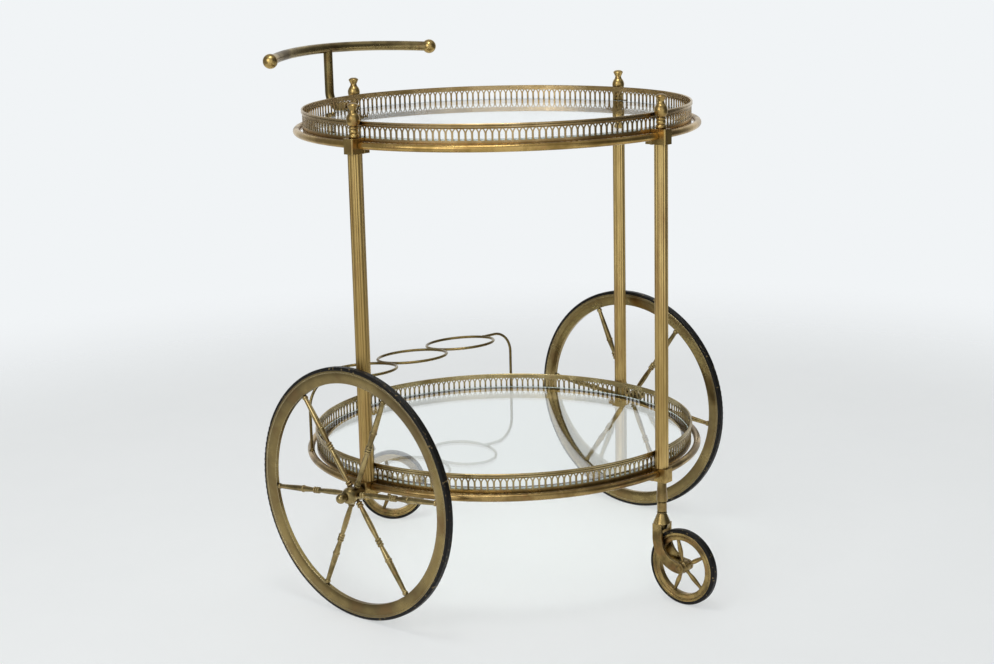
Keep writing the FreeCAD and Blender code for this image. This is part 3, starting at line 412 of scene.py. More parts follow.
@dataclass(frozen=True)
class BrassFinish:
    """Aged brass, once polished and lacquered, with cloudy brown tarnish, coppery patches where zinc
    has leached out, painted shade in the corners that stands for grime too, and bare metal rubbed
    bright on the edges, painted paler there as a highlight."""

    name: str
    gold: str = "#c8ab6c"
    olive: str = "#937a49"
    copper: str = "#9c7048"
    # This colour paints shade into the corners, and stands for grime there too.
    grime_and_shade: str = "#33291a"
    # This colour is bare rubbed metal and also a painted highlight along the edges.
    rubbed_highlight: str = "#dcc590"
    copper_share: float = 0.5
    smooth: float = 0.2
    dull: float = 0.36
    grain: Grain = Grain.EVEN
    cloud_mm: float = 38.0
    patch_mm: float = 21.0
    grit_mm: float = 1.1
    # Reach and strength of the painted corner shade.
    corner_shade_mm: float = 4.5
    corner_shade_share: float = 0.6
    edge_mm: float = 0.5
    # Strength of the painted edge highlight.
    edge_highlight_share: float = 0.6
    pit_deep_mm: float = 0.06

    def build(self) -> bpy.types.Material:
        """Make the material.

        Returns:
            A metal whose colour, roughness and fine relief vary over the surface.
        """
        material = new_material(self.name)
        tree = material.node_tree
        place = add_node(tree, "ShaderNodeTexCoord").outputs["Object"]
        drawn = add_node(tree, "ShaderNodeMapping", {"Vector": place, "Scale": self.grain.value})
        # Tarnish lies in soft clouds, so gold turns to olive brown over a few centimetres.
        clouds = add_node(tree, "ShaderNodeTexNoise", {
            "Vector": drawn.outputs[0], "Scale": per_mm(self.cloud_mm), "Detail": 5.0, "Roughness": 0.62})
        tarnish = add_node(tree, "ShaderNodeMapRange", {
            "Value": clouds.outputs[0], "From Min": 0.40, "From Max": 0.62})
        colour = add_node(tree, "ShaderNodeMix", {
            0: tarnish.outputs[0], 6: linear(self.gold), 7: linear(self.olive)}, data_type="RGBA")
        # Smaller patches have lost their zinc and look coppery.
        patches = add_node(tree, "ShaderNodeTexNoise", {
            "Vector": drawn.outputs[0], "Scale": per_mm(self.patch_mm), "Detail": 4.0, "Roughness": 0.7})
        leached = add_node(tree, "ShaderNodeMapRange", {
            "Value": patches.outputs[0], "From Min": 0.52, "From Max": 0.70, "To Max": self.copper_share})
        colour = add_node(tree, "ShaderNodeMix", {
            0: leached.outputs[0], 6: colour.outputs[2], 7: linear(self.copper)}, data_type="RGBA")
        # Painted shade: near other surfaces the colour turns towards the grime colour, so joints, flutes
        # and piercings read as dark lines. It stands for grime there too.
        open_sky = add_node(tree, "ShaderNodeAmbientOcclusion", {
            "Distance": self.corner_shade_mm * MM}, samples=6)
        corner = add_node(tree, "ShaderNodeMapRange", {
            "Value": open_sky.outputs["AO"], "From Min": 0.30, "From Max": 0.92,
            "To Min": self.corner_shade_share, "To Max": 0.0})
        colour = add_node(tree, "ShaderNodeMix", {
            0: corner.outputs[0], 6: colour.outputs[2], 7: linear(self.grime_and_shade)}, data_type="RGBA")
        # Edges are a little round and rubbed bare. Their colour is also painted paler, a painted highlight
        # that shows as thin pale lines.
        eased = add_node(tree, "ShaderNodeBevel", {"Radius": self.edge_mm * MM}, samples=4)
        facing = add_node(tree, "ShaderNodeNewGeometry").outputs["Normal"]
        bend = add_node(tree, "ShaderNodeVectorMath", {
            0: eased.outputs[0], 1: facing}, operation="DOT_PRODUCT")
        edge = add_node(tree, "ShaderNodeMapRange", {
            "Value": bend.outputs["Value"], "From Min": 0.985, "From Max": 0.90, "To Max": self.edge_highlight_share})
        colour = add_node(tree, "ShaderNodeMix", {
            0: edge.outputs[0], 6: colour.outputs[2], 7: linear(self.rubbed_highlight)}, data_type="RGBA")
        # Pitting breaks up the reflections. Real pits of a tenth of a millimetre are too fine to show
        # in the render, so they are drawn as coarse as grit_mm.
        grit = add_node(tree, "ShaderNodeTexNoise", {
            "Vector": drawn.outputs[0], "Scale": per_mm(self.grit_mm), "Detail": 3.0, "Roughness": 0.6})
        # Tarnished clouds are duller than what is left of the polish.
        rough = add_node(tree, "ShaderNodeMapRange", {
            "Value": clouds.outputs[0], "From Min": 0.3, "From Max": 0.7,
            "To Min": self.smooth, "To Max": self.dull})
        relief = add_node(tree, "ShaderNodeBump", {
            "Height": grit.outputs[0], "Strength": 0.12, "Distance": self.pit_deep_mm * MM,
            "Normal": eased.outputs[0]})
        metal = add_node(tree, "ShaderNodeBsdfPrincipled", {
            "Base Color": colour.outputs[2], "Metallic": 1.0, "Roughness": rough.outputs[0],
            "Normal": relief.outputs[0]})
        return show(material, metal.outputs[0])


@dataclass(frozen=True)
class RubberFinish:
    """Moulded black rubber, dried to a dull grey bloom, with scuffs and chips from years of rolling."""

    name: str
    black: str = "#0a0908"
    bloom: str = "#191612"
    chip: str = "#84724e"
    bloom_mm: float = 26.0
    chip_mm: float = 3.4
    grit_mm: float = 0.8
    grit_deep_mm: float = 0.12
    ior: float = 1.52

    def build(self) -> bpy.types.Material:
        """Make the material.

        Returns:
            A matt black with grey clouds and small pale chips.
        """
        material = new_material(self.name)
        tree = material.node_tree
        place = add_node(tree, "ShaderNodeTexCoord").outputs["Object"]
        # Old rubber blooms in clouds, which lifts the black to a warm grey here and there.
        clouds = add_node(tree, "ShaderNodeTexNoise", {
            "Vector": place, "Scale": per_mm(self.bloom_mm), "Detail": 6.0, "Roughness": 0.7})
        colour = add_node(tree, "ShaderNodeMix", {
            0: clouds.outputs[0], 6: linear(self.black), 7: linear(self.bloom)}, data_type="RGBA")
        # Chips and ground-in floor dirt show as small pale flecks.
        chips = add_node(tree, "ShaderNodeTexNoise", {
            "Vector": place, "Scale": per_mm(self.chip_mm), "Detail": 2.0, "Roughness": 0.5})
        worn = add_node(tree, "ShaderNodeMapRange", {
            "Value": chips.outputs[0], "From Min": 0.64, "From Max": 0.70, "To Max": 0.85})
        colour = add_node(tree, "ShaderNodeMix", {
            0: worn.outputs[0], 6: colour.outputs[2], 7: linear(self.chip)}, data_type="RGBA")
        # The mould's grain takes the shine off. It is too fine to show, so it is drawn as coarse as grit_mm.
        grit = add_node(tree, "ShaderNodeTexNoise", {
            "Vector": place, "Scale": per_mm(self.grit_mm), "Detail": 2.0})
        rough = add_node(tree, "ShaderNodeMapRange", {
            "Value": clouds.outputs[0], "From Min": 0.3, "From Max": 0.7, "To Min": 0.34, "To Max": 0.58})
        relief = add_node(tree, "ShaderNodeBump", {
            "Height": grit.outputs[0], "Strength": 0.4, "Distance": self.grit_deep_mm * MM})
        rubber = add_node(tree, "ShaderNodeBsdfPrincipled", {
            "Base Color": colour.outputs[2], "Roughness": rough.outputs[0], "IOR": self.ior,
            "Specular IOR Level": 0.2, "Normal": relief.outputs[0]})
        return show(material, rubber.outputs[0])


@dataclass(frozen=True)
class GlassFinish:
    """Float glass, clear across its thickness, with faint dust and a ground edge that glows pale green."""

    name: str
    tint: str = "#fbfefc"
    edge: str = "#dfeae4"
    dust_mm: float = 60.0
    ior: float = 1.52

    def build(self) -> bpy.types.Material:
        """Make the material.

        Returns:
            A clear glass with a slight green cast and a trace of haze, milky where its face turns outward.
        """
        material = new_material(self.name)
        tree = material.node_tree
        place = add_node(tree, "ShaderNodeTexCoord").outputs["Object"]
        # Wiped dust leaves clouds of faint haze in the reflections.
        dust = add_node(tree, "ShaderNodeTexNoise", {
            "Vector": place, "Scale": per_mm(self.dust_mm), "Detail": 6.0, "Roughness": 0.7})
        haze = add_node(tree, "ShaderNodeMapRange", {
            "Value": dust.outputs[0], "From Min": 0.45, "From Max": 0.75, "To Max": 0.05})
        glass = add_node(tree, "ShaderNodeBsdfPrincipled", {
            "Base Color": linear(self.tint), "Roughness": haze.outputs[0], "IOR": self.ior,
            "Transmission Weight": 1.0})
        # The edge is ground, not polished, and shows as a pale green line round the tray.
        facing = add_node(tree, "ShaderNodeNewGeometry").outputs["Normal"]
        upward = add_node(tree, "ShaderNodeSeparateXYZ", {0: facing})
        flat = add_node(tree, "ShaderNodeMath", {0: upward.outputs["Z"]}, operation="ABSOLUTE")
        ground = add_node(tree, "ShaderNodeMapRange", {
            "Value": flat.outputs[0], "From Min": 0.98, "From Max": 0.9})
        milky = add_node(tree, "ShaderNodeBsdfPrincipled", {
            "Base Color": linear(self.edge), "Roughness": 0.3, "IOR": self.ior})
        whole = add_node(tree, "ShaderNodeMixShader", {
            0: ground.outputs[0], 1: glass.outputs[0], 2: milky.outputs[0]})
        # Light from the lamps goes straight through, so the ledge and the floor under the glass are lit.
        clear = add_node(tree, "ShaderNodeBsdfTransparent", {"Color": linear(self.tint)})
        lamps = add_node(tree, "ShaderNodeLightPath").outputs["Is Shadow Ray"]
        lit = add_node(tree, "ShaderNodeMixShader", {0: lamps, 1: whole.outputs[0], 2: clear.outputs[0]})
        return show(material, lit.outputs[0])


# Sub-assemblies


@dataclass
class Tray:
    """One tray: rail, ledge, pierced gallery, glass and the screws that hold it."""

    level: Level
    tray_x: float = -13.0 * MM
    screw_circle: float = 235.2 * MM
    head_dia: float = 5.6 * MM
    head_tall: float = 1.6 * MM
    head_edge: float = 0.9 * MM
    # How far each step goes in, and its share of the dome's height.
    dome_steps: tuple[tuple[float, float], ...] = ((0.7 * MM, 0.6), (0.9 * MM, 0.4))
    shank_dia: float = 4.0 * MM
    shank_long: float = 11.3 * MM
    slot_wide: float = 1.1 * MM
    slot_deep: float = 0.9 * MM
    slot_turns: tuple[float, ...] = (20.0, 75.0, 130.0, 165.0)

    def name(self, part: str) -> str:
        """Return the full node name of one of the tray's parts."""
        return f"{self.level.word}_{part}"

    def dress(self, metal: bpy.types.Material, pierced: bpy.types.Material,
              ledge: bpy.types.Material, glass: bpy.types.Material) -> None:
        """Give the tray's nodes their finishes.

        Args:
            metal: For the rail and the screws.
            pierced: For the gallery.
            ledge: For the ring under the glass.
            glass: For the glass.
        """
        dress([self.name("rail"), self.name("tray_screws")], metal)
        dress([self.name("gallery")], pierced)
        dress([self.name("tray_ring")], ledge)
        dress([self.name("glass")], glass)

    def slotted_screw(self) -> bpy.types.Object:
        """Model one screw at the origin: a domed head with a slot, below the seat, and its shank above.

        Returns:
            The screw.
        """
        start_piece()
        middle = (0, 0, -self.head_edge / 2)
        bpy.ops.mesh.primitive_cylinder_add(
            vertices=32, radius=self.head_dia / 2, depth=self.head_edge, location=middle)
        screw = bpy.context.object
        bpy.ops.object.transform_apply(location=True, rotation=False, scale=False)
        bpy.ops.object.mode_set(mode="EDIT")
        pick_faces(lambda face: face.normal.z > LEVEL_FACE)
        bpy.ops.mesh.inset(thickness=(self.head_dia - self.shank_dia) / 2, depth=0)
        bpy.ops.mesh.extrude_region_move(TRANSFORM_OT_translate={"value": (0, 0, self.shank_long)})
        pick_faces(lambda face: face.normal.z < -LEVEL_FACE)
        dome = self.head_tall - self.head_edge
        for inward, share in self.dome_steps:
            bpy.ops.mesh.inset(thickness=inward, depth=share * dome)
        start_piece()
        bpy.ops.mesh.primitive_cube_add(size=1, location=(0, 0, -self.head_tall))
        blade = bpy.context.object
        blade.scale = (2 * self.head_dia, self.slot_wide, 2 * self.slot_deep)
        bpy.ops.object.transform_apply(location=True, rotation=False, scale=True)
        combine(screw, blade, "DIFFERENCE")
        return screw

    def fit_screws(self, metal: bpy.types.Material) -> bpy.types.Object:
        """Put four slotted screws in the place of the tray's plain ones.

        Args:
            metal: Their finish.

        Returns:
            The four screws as one piece.
        """
        plain = self.name("tray_screws")
        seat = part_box(plain)[0][2] + self.head_tall
        master = self.slotted_screw()
        screws = []
        for corner, turn in zip(Corner, self.slot_turns):
            about = Matrix.Rotation(math.radians(corner.value), 4, "Z")
            out = Matrix.Translation((self.screw_circle, 0, 0))
            centre = Matrix.Translation((self.tray_x, 0, seat))
            slot = Matrix.Rotation(math.radians(turn), 4, "Z")
            screws.append(copy_at(master, centre @ about @ out @ slot))
        bpy.data.objects.remove(master)
        join_pieces(screws)
        piece = finish_piece(self.name("slotted_screws"), Matrix(), "frame", metal)
        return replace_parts(piece, plain)


@dataclass
class Post:
    """One corner: fluted post, finial and the blocks at the trays."""

    corner: Corner

    def dress(self, tube: bpy.types.Material, cast: bpy.types.Material) -> None:
        """Give the corner's nodes their finishes.

        Args:
            tube: For the post.
            cast: For the finial and the blocks.
        """
        word = self.corner.word
        dress([f"post_{word}"], tube)
        dress([f"finial_{word}", f"upper_block_{word}", f"lower_block_{word}"], cast)


@dataclass
class SideWheel:
    """One large wheel with its stub axle and cap nut."""

    side: Side
    plane_y: float = 270.0 * MM
    axle_x: float = -13.0 * MM
    axle_z: float = 152.5 * MM
    bore_radius: float = 4.1 * MM
    # Radius and distance outward from the wheel's plane, in millimetres.
    barrel: tuple[tuple[float, float], ...] = (
        (7.0, -10.0), (7.0, -9.2), (8.4, -8.8), (9.0, -8.0), (9.0, 4.4), (9.5, 4.9), (10.1, 6.0))
    dome: tuple[tuple[float, float], ...] = (
        (10.3, 7.4), (10.2, 9.0), (9.7, 10.8), (8.9, 12.6), (7.8, 14.2), (6.6, 15.4), (5.6, 16.0))

    def fit_hub(self, spun: bpy.types.Material) -> bpy.types.Object:
        """Put a hub with a full rounded dome in the place of the plain barrel.

        Args:
            spun: Its finish.

        Returns:
            The hub.
        """
        profile = [(radius * MM, out * MM) for radius, out in self.barrel + self.dome]
        bore = [(self.bore_radius, end * MM) for end in (self.dome[-1][1], self.barrel[0][1])]
        turn_ring(profile + bore, segments=64)
        outward = Matrix.Rotation(math.radians(-90 * self.side.value), 4, "X")
        place = Matrix.Translation((self.axle_x, self.side.value * self.plane_y, self.axle_z)) @ outward
        wheel = f"wheel_{self.side.word}"
        piece = finish_piece(f"{wheel}_domed_hub", place, wheel, spun)
        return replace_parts(piece, f"{wheel}_hub")

    def dress(self, spun: bpy.types.Material, rolled: bpy.types.Material,
              rubber: bpy.types.Material) -> None:
        """Give the wheel's nodes their finishes.

        Args:
            spun: For the axle, the cap nut, the hub and the spokes.
            rolled: For the rim.
            rubber: For the tyre.
        """
        word = self.side.word
        dress([f"axle_{word}", f"cap_nut_{word}", f"wheel_{word}_hub", f"wheel_{word}_spokes"], spun)
        dress([f"wheel_{word}_rim"], rolled)
        dress([f"wheel_{word}_tyre"], rubber)


@dataclass
class Caster:
    """One swivel caster with the ferrule and nut that carry it."""

    end: End
    trail: float = 32.0 * MM
    axle_z: float = 46.5 * MM
    rim_radius: float = 42.7 * MM
    rim_radial: float = 9.5 * MM
    rim_wide: float = 9.4 * MM
    band_share: float = 0.34
    bead_drop: float = 1.5 * MM
    bead_rise: float = 1.1 * MM
    bead_steps: int = 8
    hub_radius: float = 7.5 * MM
    hub_wide: float = 14.0 * MM
    # How far each step is in from the hub's radius and down from its end, in millimetres.
    hub_steps: tuple[tuple[float, float], ...] = (
        (2.2, 0.0), (1.4, 0.5), (1.2, 2.0), (0.2, 2.6), (0.0, 3.6))
    bore_radius: float = 2.55 * MM
    spoke_count: int = 5
    spoke_phase: float = 31.5
    # Radius in millimetres, and share of the way from the hub to the rim.
    spoke_levels: tuple[tuple[float, float], ...] = (
        (2.3, 0.04), (1.9, 0.12), (2.5, 0.28), (2.9, 0.44), (2.7, 0.62), (2.1, 0.86), (2.2, 1.0))
    tenon_radius: float = 2.4 * MM
    tenon_long: float = 1.5 * MM
    washer_radius: float = 6.3 * MM
    washer_bore: float = 4.3 * MM
    washer_z: float = 108.2 * MM
    washer_thick: float = 1.2 * MM

    @property
    def body(self) -> str:
        """The body that swivels, whose name starts that of the wheel's body."""
        return f"caster_{self.end.word}"

    def swivel(self) -> Matrix:
        """Return the place of the swivel's axis on the floor, turned as the fork stands at rest."""
        along, turn = self.end.value
        return Matrix.Translation((along, 0, 0)) @ Matrix.Rotation(math.radians(turn), 4, "Z")

    def rim(self) -> bpy.types.Object:
        """Model the rim about Z: a flat seat for the tyre, a proud outer band, a groove and a round bead.

        Returns:
            The rim.
        """
        outer, half = self.rim_radius, self.rim_wide / 2
        band, inner = outer - self.band_share * self.rim_radial, outer - self.rim_radial
        middle, reach = (band + inner) / 2, (band - inner) / 2
        seat = [(outer, half - 0.6 * MM), (outer - 0.5 * MM, half)]
        groove = [(band + 0.7 * MM, half), (band, half - 0.5 * MM), (band - 0.2 * MM, half - 1.2 * MM)]
        turns = [math.pi * step / self.bead_steps for step in range(1, self.bead_steps)]
        bead = [(middle + reach * math.cos(turn), half - self.bead_drop + self.bead_rise * math.sin(turn))
                for turn in turns]
        face = [*seat, *groove, *bead, (inner, half - 2.2 * MM)]
        mirrored = [(radius, -height) for radius, height in reversed(face)]
        return turn_ring(face + mirrored, segments=96)

    def spoke(self) -> bpy.types.Object:
        """Model one turned spoke along Z: a waist at the hub, a swell and a taper to the rim.

        Returns:
            The spoke, with a tenon at each end.
        """
        root, inner = self.hub_radius, self.rim_radius - self.rim_radial
        turned = [(radius * MM, root + share * (inner - root)) for radius, share in self.spoke_levels]
        foot, tip = root - self.tenon_long, inner + self.tenon_long
        return turn_solid([(self.tenon_radius, foot), *turned, (self.tenon_radius, tip)])

    def hub(self) -> bpy.types.Object:
        """Model the hub about Z: a bored barrel with a rounded belly and a step at each end.

        Returns:
            The hub.
        """
        half = self.hub_wide / 2
        steps = [(self.hub_radius - inward * MM, half - down * MM) for inward, down in self.hub_steps]
        side = [(self.bore_radius, half), *steps]
        return turn_ring(side + [(radius, -height) for radius, height in reversed(side)])

    def fit_wheel(self, turned: bpy.types.Material) -> bpy.types.Object:
        """Put a wheel with a rounded rim and turned spokes in the place of the plain one.

        Args:
            turned: Its finish.

        Returns:
            The wheel.
        """
        wheel = self.rim()
        spoke = self.spoke()
        for number in range(self.spoke_count):
            turn = self.spoke_phase + 360 / self.spoke_count * number
            lean = Matrix.Rotation(math.radians(turn), 4, "Z") @ Matrix.Rotation(math.radians(90), 4, "Y")
            combine(wheel, copy_at(spoke, lean), "UNION")
        bpy.data.objects.remove(spoke)
        combine(wheel, self.hub(), "UNION")
        stand = Matrix.Rotation(math.radians(90), 4, "X")
        place = self.swivel() @ Matrix.Translation((self.trail, 0, self.axle_z)) @ stand
        piece = finish_piece(f"{self.body}_turned_wheel", place, f"{self.body}_wheel", turned)
        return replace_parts(piece, f"{self.body}_wheel")

    def fit_washer(self, dark: bpy.types.Material) -> bpy.types.Object:
        """Put a thin washer in the groove of the fork's neck.

        Args:
            dark: Its finish.

        Returns:
            The washer.
        """
        wide = self.washer_radius - self.washer_bore
        turn_ring(round_section(self.washer_bore + wide / 2, self.washer_z, wide, self.washer_thick))
        return finish_piece(f"{self.body}_washer", self.swivel(), self.body, dark)

    def dress(self, turned: bpy.types.Material, rubber: bpy.types.Material) -> None:
        """Give the caster's nodes their finishes.

        Args:
            turned: For the metal.
            rubber: For the tyre.
        """
        word = self.end.word
        parts = [f"leg_ferrule_{word}", f"swivel_nut_{word}"]
        parts += [f"{self.body}_{part}" for part in ("fork", "pin", "wheel")]
        dress(parts, turned)
        dress([f"{self.body}_tyre"], rubber)


@dataclass
class Handle:
    """The curved push bar with its balls and stem."""

    def dress(self, bar: bpy.types.Material, stem: bpy.types.Material, cast: bpy.types.Material) -> None:
        """Give the handle's nodes their finishes.

        Args:
            bar: For the bar that the hands hold.
            stem: For the bent stem.
            cast: For the balls.
        """
        dress(["handle_bar"], bar)
        dress(["handle_stem"], stem)
        dress(["handle_ball_left", "handle_ball_right"], cast)


@dataclass
class BottleHolder:
    """Three wire rings on two bent legs."""

    wire_dia: float = 3.6 * MM
    row_x: float = -171.0 * MM
    row_z: float = 244.0 * MM
    ring_gap_y: float = 47.6 * MM
    leg_y: float = 143.2 * MM
    foot_x: float = -165.1 * MM
    foot_y: float = 193.3 * MM
    rail_top: float = 161.5 * MM
    tilt: float = 5.0
    seam_size: tuple[float, float, float] = (9.0 * MM, 2.3 * MM, 2.9 * MM)
    blob_size: tuple[float, float, float] = (5.6 * MM, 4.6 * MM, 4.4 * MM)
    # Distance out from the wire and up from the rail, in millimetres.
    fillet_slope: tuple[tuple[float, float], ...] = (
        (0.0, 2.2), (0.35, 1.2), (0.9, 0.4), (1.8, -0.3), (1.8, -1.4), (0.0, -1.4))
    lump_wide: float = 1.6 * MM
    lump_tall: float = 0.35 * MM

    def bead(self, size: tuple[float, float, float]) -> bpy.types.Object:
        """Model a run of braze at the origin: an oval bead along X, uneven as it froze.

        Args:
            size: Its length, width and height.

        Returns:
            The bead.
        """
        start_piece()
        bpy.ops.mesh.primitive_uv_sphere_add(segments=20, ring_count=12, radius=0.5)
        edit_whole()
        bpy.ops.transform.resize(value=size, center_override=(0, 0, 0))
        bpy.ops.mesh.vertices_smooth(factor=0.3, repeat=2)
        bead = settle()
        lumps = bpy.data.textures.new("braze_lumps", "CLOUDS")
        lumps.noise_scale = self.lump_wide
        uneven = bead.modifiers.new("uneven", "DISPLACE")
        uneven.texture = lumps
        uneven.strength = self.lump_tall
        bpy.ops.object.modifier_apply(modifier=uneven.name)
        return bead

    def braze(self, metal: bpy.types.Material) -> bpy.types.Object:
        """Run braze where the rings meet, where the legs meet the rings, and round the legs' feet.

        Args:
            metal: Its finish.

        Returns:
            All the braze as one piece.
        """
        lean = Matrix.Rotation(math.radians(-self.tilt), 4, "Y")
        seam, blob = self.bead(self.seam_size), self.bead(self.blob_size)
        wire = self.wire_dia / 2
        fillet = turn_ring([(wire + out * MM, rise * MM) for out, rise in self.fillet_slope], segments=32)
        runs = []
        for side in Side:
            for master, place, turn in (
                    (seam, (self.row_x, side.value * self.ring_gap_y, self.row_z), lean),
                    (blob, (self.row_x, side.value * self.leg_y, self.row_z), lean),
                    (fillet, (self.foot_x, side.value * self.foot_y, self.rail_top), Matrix())):
                runs.append(copy_at(master, Matrix.Translation(place) @ turn))
        for master in (seam, blob, fillet):
            bpy.data.objects.remove(master)
        join_pieces(runs)
        return finish_piece("bottle_holder_braze", Matrix(), "frame", metal)

    def dress(self, wire: bpy.types.Material) -> None:
        """Give the holder's nodes their finish."""
        dress([f"bottle_ring_{place}" for place in ("right", "middle", "left")], wire)
        dress(["bottle_leg_left", "bottle_leg_right"], wire)


# Studio


@dataclass(frozen=True)
class Region:
    """A region of the surround: its light at two values of a direction's share, and even beyond them."""

    start: float
    stop: float
    first: float
    last: float


@dataclass(frozen=True)
class Lamp:
    """A soft square lamp: where it hangs and how wide its face is, in metres, and its power in watts."""

    name: str
    place: tuple[float, float, float]
    across: float
    watts: float

    def hang(self, target: tuple[float, float, float]) -> None:
        """Hang the lamp in the scene.

        Args:
            target: Point that it faces.
        """
        light = bpy.data.lights.new(self.name, "AREA")
        light.shape = "SQUARE"
        light.size = self.across
        light.energy = self.watts
        lamp = bpy.data.objects.new(self.name, light)
        bpy.context.scene.collection.objects.link(lamp)
        lamp.location = self.place
        towards = Vector(target) - Vector(self.place)
        lamp.rotation_euler = towards.to_track_quat("-Z", "Y").to_euler()


@dataclass
class Studio:
    """A pale floor that fades into a white surround, soft light, and the camera."""

    image_wide: float = 994.0
    focal_px: float = 1818.97
    sensor_wide: float = 36.0
    position: tuple[float, float, float] = (1.45607, -1.69661, 0.80261)
    azimuth: float = 41.04
    elevation: float = 12.68
    roll: float = -1.32
    surround: str = "#f1f4f6"
    floor_colour: str = "#f4f6f6"
    floor_mark: str = "#e6e9ea"
    floor_pale: str = "#fcfefe"
    floor_calm: float = 0.48
    floor_radius: float = 2.6
    fade_from: float = 0.9
    fade_to: float = 1.9
    mark_mm: float = 140.0
    behind: Region = Region(start=0.45, stop=0.92, first=0.0, last=1.0)
    before: Region = Region(start=-0.5, stop=-0.9, first=0.0, last=1.0)
    beside: Region = Region(start=-0.3, stop=0.5, first=0.33, last=0.13)
    above: Region = Region(start=0.35, stop=0.9, first=0.0, last=0.55)
    lamps: tuple[Lamp, ...] = (
        Lamp("key", place=(0.15, -1.95, 1.35), across=1.2, watts=10.0),
        Lamp("top", place=(0.2, -0.5, 2.1), across=0.6, watts=7.0))
    lamp_target: tuple[float, float, float] = (0.0, 0.0, 0.3)

    def forward(self) -> Vector:
        """Return the level direction in which the camera looks."""
        turn = math.radians(self.azimuth)
        return Vector((-math.sin(turn), math.cos(turn), 0))

    def camera(self) -> None:
        """Make the scene's camera, at the photograph's view."""
        level = self.forward()
        lean = math.radians(self.elevation)
        forward = level * math.cos(lean) - Vector((0, 0, math.sin(lean)))
        right = forward.cross(Vector((0, 0, 1))).normalized()
        up = right.cross(forward)
        turn = math.radians(self.roll)
        across = right * math.cos(turn) + up * math.sin(turn)
        upright = up * math.cos(turn) - right * math.sin(turn)
        lens = bpy.data.cameras.new("camera")
        lens.sensor_fit = "HORIZONTAL"
        lens.sensor_width = self.sensor_wide
        lens.lens = self.focal_px * self.sensor_wide / self.image_wide
        camera = bpy.data.objects.new("camera", lens)
        bpy.context.scene.collection.objects.link(camera)
        turned = Matrix((across, upright, -forward)).transposed().to_4x4()
        camera.matrix_world = Matrix.Translation(self.position) @ turned
        bpy.context.scene.camera = camera

    def floor(self) -> bpy.types.Object:
        """Make the floor, a disc that fades out towards its edge.

        Returns:
            Nothing, since mark_backdrop gives nothing back. The floor is marked as backdrop.
        """
        start_piece()
        bpy.ops.mesh.primitive_circle_add(vertices=96, radius=self.floor_radius, fill_type="NGON")
        disc = bpy.context.object
        disc.name = "floor"
        disc.data.materials.append(self.floor_finish())
        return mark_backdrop(disc)

    def floor_finish(self) -> bpy.types.Material:
        """Make the floor's material: matt painted board that fades out before its edge.

        Returns:
            The material, lit like paint but paler to the eye, so that shadows stay soft.
        """
        material = new_material("painted_board")
        tree = material.node_tree
        place = add_node(tree, "ShaderNodeTexCoord").outputs["Object"]
        # Rubbed marks, broad and faint, keep the board from looking blank.
        marks = add_node(tree, "ShaderNodeTexNoise", {
            "Vector": place, "Scale": per_mm(self.mark_mm), "Detail": 5.0, "Roughness": 0.6})
        tone = add_node(tree, "ShaderNodeMapRange", {
            "Value": marks.outputs[0], "From Min": 0.3, "From Max": 0.7, "To Max": 0.25})
        colour = add_node(tree, "ShaderNodeMix", {
            0: tone.outputs[0], 6: linear(self.floor_colour), 7: linear(self.floor_mark)}, data_type="RGBA")
        paint = add_node(tree, "ShaderNodeBsdfPrincipled", {
            "Base Color": colour.outputs[2], "Roughness": 0.75, "Specular IOR Level": 0.2})
        reach = add_node(tree, "ShaderNodeVectorMath", {0: place}, operation="LENGTH")
        fade = add_node(tree, "ShaderNodeMapRange", {
            "Value": reach.outputs["Value"], "From Min": self.fade_from, "From Max": self.fade_to},
            interpolation_type="SMOOTHSTEP")
        clear = add_node(tree, "ShaderNodeBsdfTransparent")
        seen = any_ray(tree, SEEN_OR_MIRRORED)
        share = add_node(tree, "ShaderNodeMath", {0: seen, 1: self.floor_calm}, operation="MULTIPLY")
        pale = add_node(tree, "ShaderNodeEmission", {"Color": linear(self.floor_pale), "Strength": 1.0})
        board = add_node(tree, "ShaderNodeMixShader", {
            0: share.outputs[0], 1: paint.outputs[0], 2: pale.outputs[0]})
        edge = add_node(tree, "ShaderNodeMixShader", {
            0: fade.outputs[0], 1: board.outputs[0], 2: clear.outputs[0]})
        return show(material, edge.outputs[0])

    def surround_light(self) -> None:
        """Light the scene from a surround that is bright behind, before and above, and dim at the sides."""
        world = bpy.data.worlds.new("surround")
        world.use_nodes = True
        tree = world.node_tree
        tree.nodes.clear()
        direction = add_node(tree, "ShaderNodeTexCoord").outputs["Generated"]
        forward = self.forward()
        ahead = add_node(tree, "ShaderNodeVectorMath", {0: direction, 1: forward}, operation="DOT_PRODUCT")
        across = add_node(tree, "ShaderNodeVectorMath", {
            0: direction, 1: forward.cross(Vector((0, 0, 1)))}, operation="DOT_PRODUCT")
        height = add_node(tree, "ShaderNodeSeparateXYZ", {0: direction})
        regions = [(ahead.outputs["Value"], self.behind), (ahead.outputs["Value"], self.before),
                   (across.outputs["Value"], self.beside), (height.outputs["Z"], self.above)]
        strength: float | bpy.types.NodeSocket = 0.0
        for share, region in regions:
            light = add_node(tree, "ShaderNodeMapRange", {
                "Value": share, "From Min": region.start, "From Max": region.stop,
                "To Min": region.first, "To Max": region.last}, interpolation_type="SMOOTHSTEP")
            brighter = add_node(tree, "ShaderNodeMath", {
                0: strength, 1: light.outputs[0]}, operation="MAXIMUM")
            strength = brighter.outputs[0]
        # The camera sees an even white, straight or through glass, and metal mirrors the regions.
        seen = any_ray(tree, SEEN_DIRECTLY)
        level = add_node(tree, "ShaderNodeMix", {0: seen, 2: strength, 3: 1.0}, data_type="FLOAT")
        white = add_node(tree, "ShaderNodeBackground", {
            "Color": linear(self.surround), "Strength": level.outputs[0]})
        output = add_node(tree, "ShaderNodeOutputWorld")
        tree.links.new(white.outputs[0], output.inputs["Surface"])
        bpy.context.scene.world = world

    def build(self) -> None:
        """Make the whole studio."""
        self.camera()
        self.floor()
        self.surround_light()
        for lamp in self.lamps:
            lamp.hang(self.lamp_target)
        bpy.context.scene.view_settings.view_transform = "Standard"


